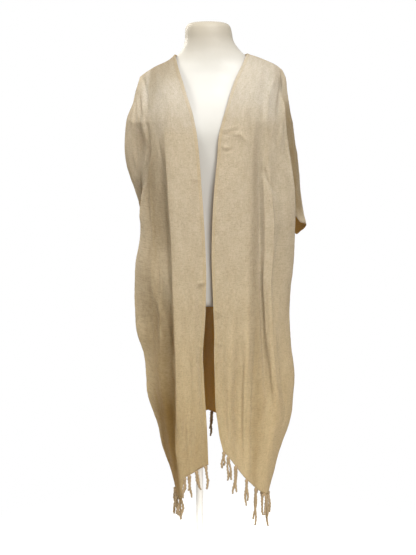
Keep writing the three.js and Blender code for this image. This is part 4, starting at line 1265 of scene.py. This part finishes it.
def recess_shade(side, place, grid):
    """How dark a front's painted shade is in its recesses: by its fold beside the panel, by depth and low
    down, or behind.
    """
    depth, height = grid[..., 1], grid[..., 2]
    mottled = soft_noise(place * MOTTLE["stretch"], height, MOTTLE["across"], MOTTLE["down"], MOTTLE["seed"])
    mottled = 1 - MOTTLE["share"] + MOTTLE["share"] * mottled
    fold = bump(place, FOLD_PLACE, FOLD_REACH) * (1 - smoothstep(height, *FOLD_HEIGHTS))
    if side is RIGHT:
        behind = window(place, *BEHIND_PLACES) * window(height, *BEHIND_HEIGHTS)
        return np.clip((PAINTED_SHADE["right_fold"] * fold + PAINTED_SHADE["behind"] * behind) * mottled, 0, 1)
    deep = smoothstep(depth, *DEEP_DEPTHS) * (1 - smoothstep(place, *DEEP_PLACES))
    low = 1 - smoothstep(height, *LOW_HEIGHTS)
    recess = (PAINTED_SHADE["deep"] * deep + PAINTED_SHADE["fold"] * fold) * mottled
    return np.clip(recess + (PAINTED_SHADE["low"] + PAINTED_SHADE["low_deep"] * deep) * low, 0, 1)


def front_cloth(side, creases, tucks, seed, name):
    """One front with its maps, open below the sleeve's mouth."""
    width = bpy.context.scene.kaftan_cloth.turned_width / MM
    place, grid, across = front_surface(side, creases, tucks, seed)
    cells = cloth_cells(grid, place[:-1] >= SIDE_SEAM)
    masks = {"edge": edge_tone(across, width), "shade": recess_shade(side, place, grid)}
    return cloth_piece(name, grid, across, cells, side["hand"] < 0, masks)


def back_cloth():
    """The back: both halves of the section in one width, its creases measured from the centre."""
    settings = bpy.context.scene.kaftan_cloth
    half = even_places(SLEEVE_FOLD, CENTRE, BACK_STEPS)
    grid = np.concatenate([cloth_grid(LEFT, half), cloth_grid(RIGHT, half)[:, -2::-1]], axis=1)
    place = np.concatenate([half, half[-2::-1]])
    centre = len(half) - 1
    run = lengths_along(grid, 1)
    across = run - run[:, centre : centre + 1]
    height = grid[..., 2]
    ends = smoothstep(place, SLEEVE_FOLD, SLEEVE_FOLD + JOIN_PLACES)
    closed_top = smoothstep(np.arange(len(grid)), 0, TOP_ROWS)[:, None]
    rumple = settings.rumple / MM * gauze_rumple(across, height, BACK_SEED)
    folds = BACK_CREASE_DEPTH * crease_relief(BACK_CREASES, across, height)
    lift = (rumple + folds) * ends * closed_top
    grid = grid + grid_normals(grid) * lift[..., None]
    cells = cloth_cells(grid, np.minimum(place[:-1], place[1:]) < BACK_TUCK)
    masks = {"edge": np.zeros_like(across), "shade": np.zeros_like(across)}
    return cloth_piece("back_cloth", grid, across, cells, True, masks)


def line_inside(inset, across, grid):
    """The line of a front that runs at one distance from its edge."""
    return np.concatenate([points_at([inset], run, row) for run, row in zip(across, grid)])


def stitch_points(side, creases, tucks, seed):
    """Rings of a turned edge's stitches, each a short bead that dips into the cloth at both ends."""
    settings = bpy.context.scene.kaftan_cloth
    _, grid, across = front_surface(side, creases, tucks, seed)
    seam = settings.turned_width / MM - SEAM_INSET
    line = line_inside(seam, across, grid)
    run = lengths_along(line, 0)
    pitch = settings.stitch_pitch / MM
    at = np.arange(pitch, run[-1], pitch)
    middle = points_at(at, run, line)
    along = unit(points_at(at + STITCH_AHEAD, run, line) - middle)
    beside = points_at(at, run, line_inside(seam + STITCH_BESIDE, across, grid)) - middle
    normal = unit(np.cross(beside, along) * side["hand"])
    normal = normal * np.where(normal[:, 1:2] > 0, -1.0, 1.0)
    sideways = np.cross(along, normal)

    share, thick, sunk = np.asarray(STITCH_RINGS, float).T
    half = settings.stitch_length / MM / 2
    centre = middle[:, None] + along[:, None] * (share * half)[None, :, None]
    centre = centre + normal[:, None] * (STITCH_LIFT - sunk)[None, :, None]
    angle = round_angles(STITCH_SIDES)[None, None, :, None]
    turn = np.cos(angle) * sideways[:, None, None] + np.sin(angle) * normal[:, None, None]
    return centre[:, :, None] + (thick * STITCH_RADIUS)[None, :, None, None] * turn


def edge_stitches(name, *front):
    """All the stitches of one turned edge in one mesh."""
    points = stitch_points(*front)
    return mesh_object(name, points * MM, tube_faces(len(points), len(STITCH_RINGS), STITCH_SIDES))


# Fringe


def hem_points(side, place):
    """Points of the hem at the given places."""
    return hanging(side, column(side["hem"], place)[None, :], place)[0]


def guessed_swings(count, table):
    """Lengths and swings of evenly spaced tassels: for each row of the table a sine over their number."""
    mean, swing, rate, phase = np.asarray(table, float).T
    return mean + swing * np.sin(rate * np.arange(count)[:, None] + phase)


def tassel_roots(side, table):
    """Roots and swings of a front's tassels: the table's by distance out, then even ones to the seam."""
    pitch = bpy.context.scene.kaftan_fringe.pitch / MM
    place = even_places(0, SIDE_SEAM, HEM_STEPS)
    hem = hem_points(side, place)
    run = lengths_along(hem, 0)
    shown = np.asarray(table, float)
    face = place <= side["front_hem_end"]
    out = hem[face, 0] * side["hand"]
    start = np.interp(shown[-1, 0], out, run[face]) + pitch
    more = np.arange(start, run[-1], pitch)
    roots = np.concatenate([points_at(shown[:, 0], out, hem[face]), points_at(more, run, hem)])
    swings = np.concatenate([shown[:, 1:], guessed_swings(len(more), SIDE_SWINGS)])
    return roots, swings, np.tile([side["hand"], 0.0, 0.0], (len(roots), 1))


def back_tassel_roots():
    """Roots and swings of the back's tassels, even along its hem."""
    pitch = bpy.context.scene.kaftan_fringe.pitch / MM
    half = even_places(BACK_TUCK, CENTRE, BACK_HEM_STEPS)
    hem = np.concatenate([hem_points(LEFT, half), hem_points(RIGHT, half)[-2::-1]])
    run = lengths_along(hem, 0)
    roots = points_at(np.arange(pitch / 2, run[-1], pitch), run, hem)
    return roots, guessed_swings(len(roots), BACK_SWINGS), np.tile([1.0, 0.0, 0.0], (len(roots), 1))


def strand_radius(down, level, angle, order, phase):
    """Radius of twisted strands: three lobes that turn on the way down, a knot near the root, a taper."""
    settings = bpy.context.scene.kaftan_fringe
    twist = down / STRAND_TWIST + order * 1.3 + phase
    lobes = 1 + LOBE_DEPTH * np.cos(LOBES * (angle + twist))
    knot = bump(down, KNOT_DOWN, KNOT_REACH)
    tip = 1 - TIP_TAPER * smoothstep(level, 0.8, 1.0)
    radius = settings.strand / MM * lobes * tip * (0.9 + 0.1 * np.sin(9 * level + order))
    radius = radius * (1 - knot) + settings.knot / MM * (0.92 + 0.08 * np.cos(2 * angle + order)) * knot
    return np.where(level <= 0, ROOT_SHARE * radius, radius)


def strands(roots, lengths, swings, bows, outwards, phase):
    """Rings of twisted strands: each hangs from its root, swings out, bows, and waves a little."""
    wave = bpy.context.scene.kaftan_fringe.wave / MM
    level = np.linspace(0, 1, STRAND_LEVELS)[None, :, None]
    angle = round_angles(STRAND_SIDES)[None, None, :]
    order = np.arange(len(roots))[:, None, None]
    down = level * lengths[:, None, None]
    radius = strand_radius(down, level, angle, order, phase)
    curl = wave * np.sin(7.4 * level + order * 2.1 + phase) * level**0.7
    swing = swings[:, None, None] * level**1.5 + curl + bows[:, None, None] * np.sin(math.pi * level)
    sideways = 0.8 * wave * np.sin(5.7 * level + order * 1.7 + phase) * level
    centre = roots[:, None, None, :] + outwards[:, None, None, :] * swing[..., None]
    centre = centre + np.stack([0 * down, sideways, -down], -1)
    ring = np.stack([np.cos(angle) * radius, np.sin(angle) * radius, np.zeros_like(radius)], -1)
    return centre + ring


def tube_faces(count, levels, sides):
    """Faces of many capped tubes, each a closed grid of rings with one many-sided face at each end.

    Seen from its first ring, a tube's points run anticlockwise, so that its faces look outwards.
    """
    body = grid_faces(levels, sides, closed=True, flip=True).reshape(-1, 4)
    starts = (np.arange(count) * levels * sides)[:, None, None]
    quads = (body[None] + starts).reshape(-1, 4).tolist()
    caps = []
    for start in range(0, count * levels * sides, levels * sides):
        caps.append([start + k for k in range(sides)])
        caps.append([start + (levels - 1) * sides + k for k in reversed(range(sides))])
    return quads + caps


def fringe_piece(name, roots, swings, outwards):
    """All the tassels of one hem in one mesh: two twisted strands from each knot."""
    first = strands(roots, swings[:, 0], swings[:, 1], -swings[:, 4], outwards, 0.0)
    beside = roots + outwards * STRAND_LEAN
    second = strands(beside, swings[:, 2], swings[:, 3], swings[:, 4], outwards, SECOND_PHASE)
    points = np.concatenate([first, second]).reshape(-1, 3) * MM
    return mesh_object(name, points, tube_faces(2 * len(roots), STRAND_LEVELS, STRAND_SIDES))


# Dress form and stand


def form_mesh(name, sides):
    """Dress form: superellipse rings with a soft bust swell, closed by shrinking rings at top and bottom."""
    levels = np.asarray(FORM_ROWS, float)[:, 0]
    rows = np.arange((len(levels) - 1) * FORM_STEPS + 1) / FORM_STEPS
    heights = np.interp(rows, np.arange(len(levels)), levels)
    angle = round_angles(sides)
    cos, sin = np.cos(angle)[None, :], np.sin(angle)[None, :]
    middle, half, front, back, square = (column(FORM_ROWS, heights, k)[:, None] for k in range(1, 6))
    x = half * np.sign(cos) * np.abs(cos) ** (2 / square)
    y = np.where(sin < 0, -front, back) * np.sign(sin) * np.abs(sin) ** (2 / square)
    swell = BUST["rise"] * bump(np.abs(x), BUST["apart"], BUST["spread"])
    swell = swell * bump(heights[:, None], BUST["height"], BUST["tall"])
    y = np.where(sin < 0, y - swell * np.abs(sin), y)
    rings = np.stack([middle + x, y, np.broadcast_to(heights[:, None], x.shape)], -1)
    cap = np.array(FORM_CAP)[:, None, None]
    axis = np.array([1.0, 1.0, 0.0])
    ends = ((0, CAP_DEPTHS[0]), (-1, CAP_DEPTHS[1]))
    centre = np.array([[middle[end, 0], depth, heights[end]] for end, depth in ends])
    top = centre[0] + (rings[0] - centre[0]) * (cap[::-1] * axis + (1 - axis))
    low = centre[1] + (rings[-1] - centre[1]) * (cap * axis + (1 - axis))
    rings = np.concatenate([top, rings, low])
    return mesh_object(name, rings * MM, tube_faces(1, len(rings), sides))


def turned_piece(name, profile, centre, sides=ROUND_SIDES):
    """Solid of revolution: a profile of radius and height, in metres, carried round an upright axis."""
    profile = np.asarray(profile, float)
    angle = round_angles(sides)
    x = centre[0] + profile[:, :1] * np.cos(angle)
    y = centre[1] + profile[:, :1] * np.sin(angle)
    points = np.stack([x, y, np.broadcast_to(profile[:, 1:], x.shape)], -1)
    return mesh_object(name, points, tube_faces(1, len(profile), sides))


def rounded(corners, radius, steps=5):
    """A profile with its inner corners rounded by quadratic arcs from a radius before to one after."""
    corners = np.asarray(corners, float)
    t = np.linspace(0, 1, steps)[:, None]
    parts = [corners[:1]]
    for before, corner, after in zip(corners[:-2], corners[1:-1], corners[2:]):
        start, end = corner + unit(before - corner) * radius, corner + unit(after - corner) * radius
        parts.append((1 - t) ** 2 * start + 2 * t * (1 - t) * corner + t**2 * end)
    parts.append(corners[-1:])
    return np.concatenate(parts)


def stand_profile(node, low, high, radius):
    """Profile of a part of the stand: a cylinder, or for the socket a cup on a thinner neck."""
    side = [[radius, high], [radius, low]]
    if node == "stand_socket":
        neck = radius * SOCKET_NECK
        side = [[radius, high], [radius, high - SOCKET_LIP], [neck, high - SOCKET_STEP], [neck, low]]
    return [[ON_AXIS, high], *side, [ON_AXIS, low]]


# Operators


class KAFTAN_OT_dress_form(bpy.types.Operator):
    """Build the smooth limbless dress form"""

    bl_idname = "kaftan.dress_form"
    bl_label = "Dress Form"

    def execute(self, context):
        piece = form_mesh("form_body", context.scene.kaftan_form.sides)
        finish_piece(piece, "form_cover", "form", "dress_form")
        return {"FINISHED"}


class KAFTAN_OT_stand(bpy.types.Operator):
    """Build the stand: socket, pole and base with rounded rims"""

    bl_idname = "kaftan.stand"
    bl_label = "Stand"

    def execute(self, context):
        rounding = {
            "stand_base": context.scene.kaftan_stand.base_rim,
            "stand_pole": POLE_ROUNDING,
            "stand_socket": SOCKET_ROUNDING,
        }
        for node, name in STAND_PIECES:
            low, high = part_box(node)
            centre = ((low.x + high.x) / 2, (low.y + high.y) / 2)
            profile = stand_profile(node, low.z, high.z, (high.x - low.x) / 2)
            piece = turned_piece(name, rounded(profile, rounding[node]), centre)
            finish_piece(piece, "stand_paint", "stand", node)
        return {"FINISHED"}


class KAFTAN_OT_fronts(bpy.types.Operator):
    """Build the two fronts"""

    bl_idname = "kaftan.fronts"
    bl_label = "Fronts"

    def execute(self, context):
        for side, creases, tucks, seed, name, _, node in FRONTS:
            finish_piece(front_cloth(side, creases, tucks, seed, name), "gauze", "cloth", node)
        return {"FINISHED"}


class KAFTAN_OT_stitches(bpy.types.Operator):
    """Stitch down the two turned edges"""

    bl_idname = "kaftan.stitches"
    bl_label = "Stitches"

    def execute(self, context):
        for *front, _, name, _ in FRONTS:
            finish_piece(edge_stitches(name, *front), "fringe_thread", "fringe")
        return {"FINISHED"}


class KAFTAN_OT_back(bpy.types.Operator):
    """Build the back"""

    bl_idname = "kaftan.back"
    bl_label = "Back"

    def execute(self, context):
        finish_piece(back_cloth(), "gauze", "cloth", "back")
        return {"FINISHED"}


class KAFTAN_OT_fringes(bpy.types.Operator):
    """Knot the tassels along the three hems"""

    bl_idname = "kaftan.fringes"
    bl_label = "Fringes"

    def execute(self, context):
        hems = (
            ("left_tassels", tassel_roots(LEFT, LEFT_TASSELS), "fringe_left_front"),
            ("right_tassels", tassel_roots(RIGHT, RIGHT_TASSELS), "fringe_right_front"),
            ("back_tassels", back_tassel_roots(), "fringe_back"),
        )
        for name, (roots, swings, outwards), node in hems:
            piece = fringe_piece(name, roots, swings, outwards)
            finish_piece(piece, "fringe_thread", "fringe", node)
        self.declare_cuts()
        return {"FINISHED"}

    def declare_cuts(self):
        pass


def soft_light(name, power, size, place, aim, tint):
    """A square area light at a place, turned to face a point."""
    data = bpy.data.lights.new(name, "AREA")
    data.energy = power
    data.shape = "RECTANGLE"
    data.size, data.size_y = size
    data.color = tint
    light = bpy.data.objects.new(name, data)
    light.location = place
    light.rotation_euler = (Vector(aim) - Vector(place)).to_track_quat("-Z", "Y").to_euler()
    bpy.context.scene.collection.objects.link(light)


class KAFTAN_OT_stage(bpy.types.Operator):
    """Set the pale floor, the soft light and the camera"""

    bl_idname = "kaftan.stage"
    bl_label = "Stage"

    def execute(self, context):
        settings = context.scene.kaftan_stage
        self.floor()
        self.surround(settings.surround)
        for name, size, place, aim, tint in LIGHTS:
            soft_light(name, getattr(settings, name), size, place, aim, tint)
        self.camera(settings)
        context.scene.view_settings.view_transform = "Standard"
        return {"FINISHED"}

    def floor(self):
        radii = np.array(FLOOR_RADII)[:, None]
        angle = round_angles(ROUND_SIDES)
        x, y = radii * np.cos(angle), radii * np.sin(angle)
        points = np.stack([x, y, np.zeros_like(x)], -1)
        faces = grid_faces(len(radii), ROUND_SIDES, closed=True, flip=True)
        floor = mesh_object("floor", points, faces.reshape(-1, 4).tolist())
        floor.data.transform(Matrix.Translation((0, 0, -FLOOR_DROP)))
        material, tree, result = new_material("floor_paper")
        place = tree.place()
        far = tree.add("ShaderNodeVectorMath", {"operation": "LENGTH"}, i0=place).outputs["Value"]
        paper = tree.add("ShaderNodeBsdfDiffuse", Color=(0.90, 0.90, 0.895, 1))
        glow = tree.add("ShaderNodeEmission", Color=(1, 1, 1, 1), Strength=0.12)
        lit = tree.add("ShaderNodeAddShader", i0=paper.outputs[0], i1=glow.outputs[0])
        clear = tree.add("ShaderNodeBsdfTransparent")
        mixed = tree.layered(tree.ramp(far, *FLOOR_FADE), lit, clear)
        tree.feed(result, "Surface", mixed.outputs[0])
        floor.data.materials.append(material)

    def surround(self, strength):
        world = bpy.data.worlds.new("studio")
        world.use_nodes = True
        world.node_tree.nodes.clear()
        tree = Tree(world.node_tree)
        seen = tree.add("ShaderNodeLightPath").outputs["Is Camera Ray"]
        white = tree.add("ShaderNodeBackground", Color=(1, 1, 1, 1), Strength=1.0)
        toward = tree.add("ShaderNodeTexCoord").outputs["Generated"]
        upward = tree.part(toward, 2)
        above = tree.ramp(upward, -0.3, 0.9, 0.35 * strength, 2.2 * strength)
        tint = tree.mix(tree.ramp(upward, -0.2, 0.7), (1.0, 0.85, 0.54, 1), (1.0, 0.97, 0.92, 1))
        even = tree.add("ShaderNodeBackground", Color=tint, Strength=above)
        mixed = tree.layered(seen, even, white)
        output = tree.add("ShaderNodeOutputWorld")
        tree.feed(output, "Surface", mixed.outputs[0])
        bpy.context.scene.world = world

    def camera(self, settings):
        data = bpy.data.cameras.new("camera")
        data.lens = settings.lens
        data.sensor_fit = "AUTO"
        data.sensor_width = 36
        data.shift_y = CAMERA_SHIFT
        camera = bpy.data.objects.new("camera", data)
        camera.location = (0.0, -settings.camera_distance, settings.camera_height)
        camera.rotation_euler = (math.radians(90 - CAMERA_TILT), 0, 0)
        bpy.context.scene.collection.objects.link(camera)
        bpy.context.scene.camera = camera


class KAFTAN_PT_panel(bpy.types.Panel):
    bl_label = "Kaftan"
    bl_idname = "KAFTAN_PT_panel"
    bl_space_type = "VIEW_3D"
    bl_region_type = "UI"
    bl_category = "Kaftan"

    def draw(self, context):
        for operator in STEPS:
            self.layout.operator(operator.bl_idname)


STEPS = (
    KAFTAN_OT_stage, KAFTAN_OT_dress_form, KAFTAN_OT_stand, KAFTAN_OT_fronts, KAFTAN_OT_back,
    KAFTAN_OT_stitches, KAFTAN_OT_fringes,
)
SETTINGS = {
    "kaftan_cloth": ClothSettings,
    "kaftan_fringe": FringeSettings,
    "kaftan_form": FormSettings,
    "kaftan_stand": StandSettings,
    "kaftan_stage": StageSettings,
}


def register():
    for group in SETTINGS.values():
        bpy.utils.register_class(group)
    for kind in (*STEPS, KAFTAN_PT_panel):
        bpy.utils.register_class(kind)
    for name, group in SETTINGS.items():
        setattr(bpy.types.Scene, name, bpy.props.PointerProperty(type=group))


def unregister():
    for name in SETTINGS:
        delattr(bpy.types.Scene, name)
    for kind in (KAFTAN_PT_panel, *reversed(STEPS), *reversed(SETTINGS.values())):
        bpy.utils.unregister_class(kind)


def plain(box):
    """A box as plain lists of numbers."""
    return [[float(part) for part in corner] for corner in box]


def main():
    register()
    for step in STEPS:
        family, name = step.bl_idname.split(".")
        getattr(getattr(bpy.ops, family), name)()


if __name__ == "__main__":
    main()
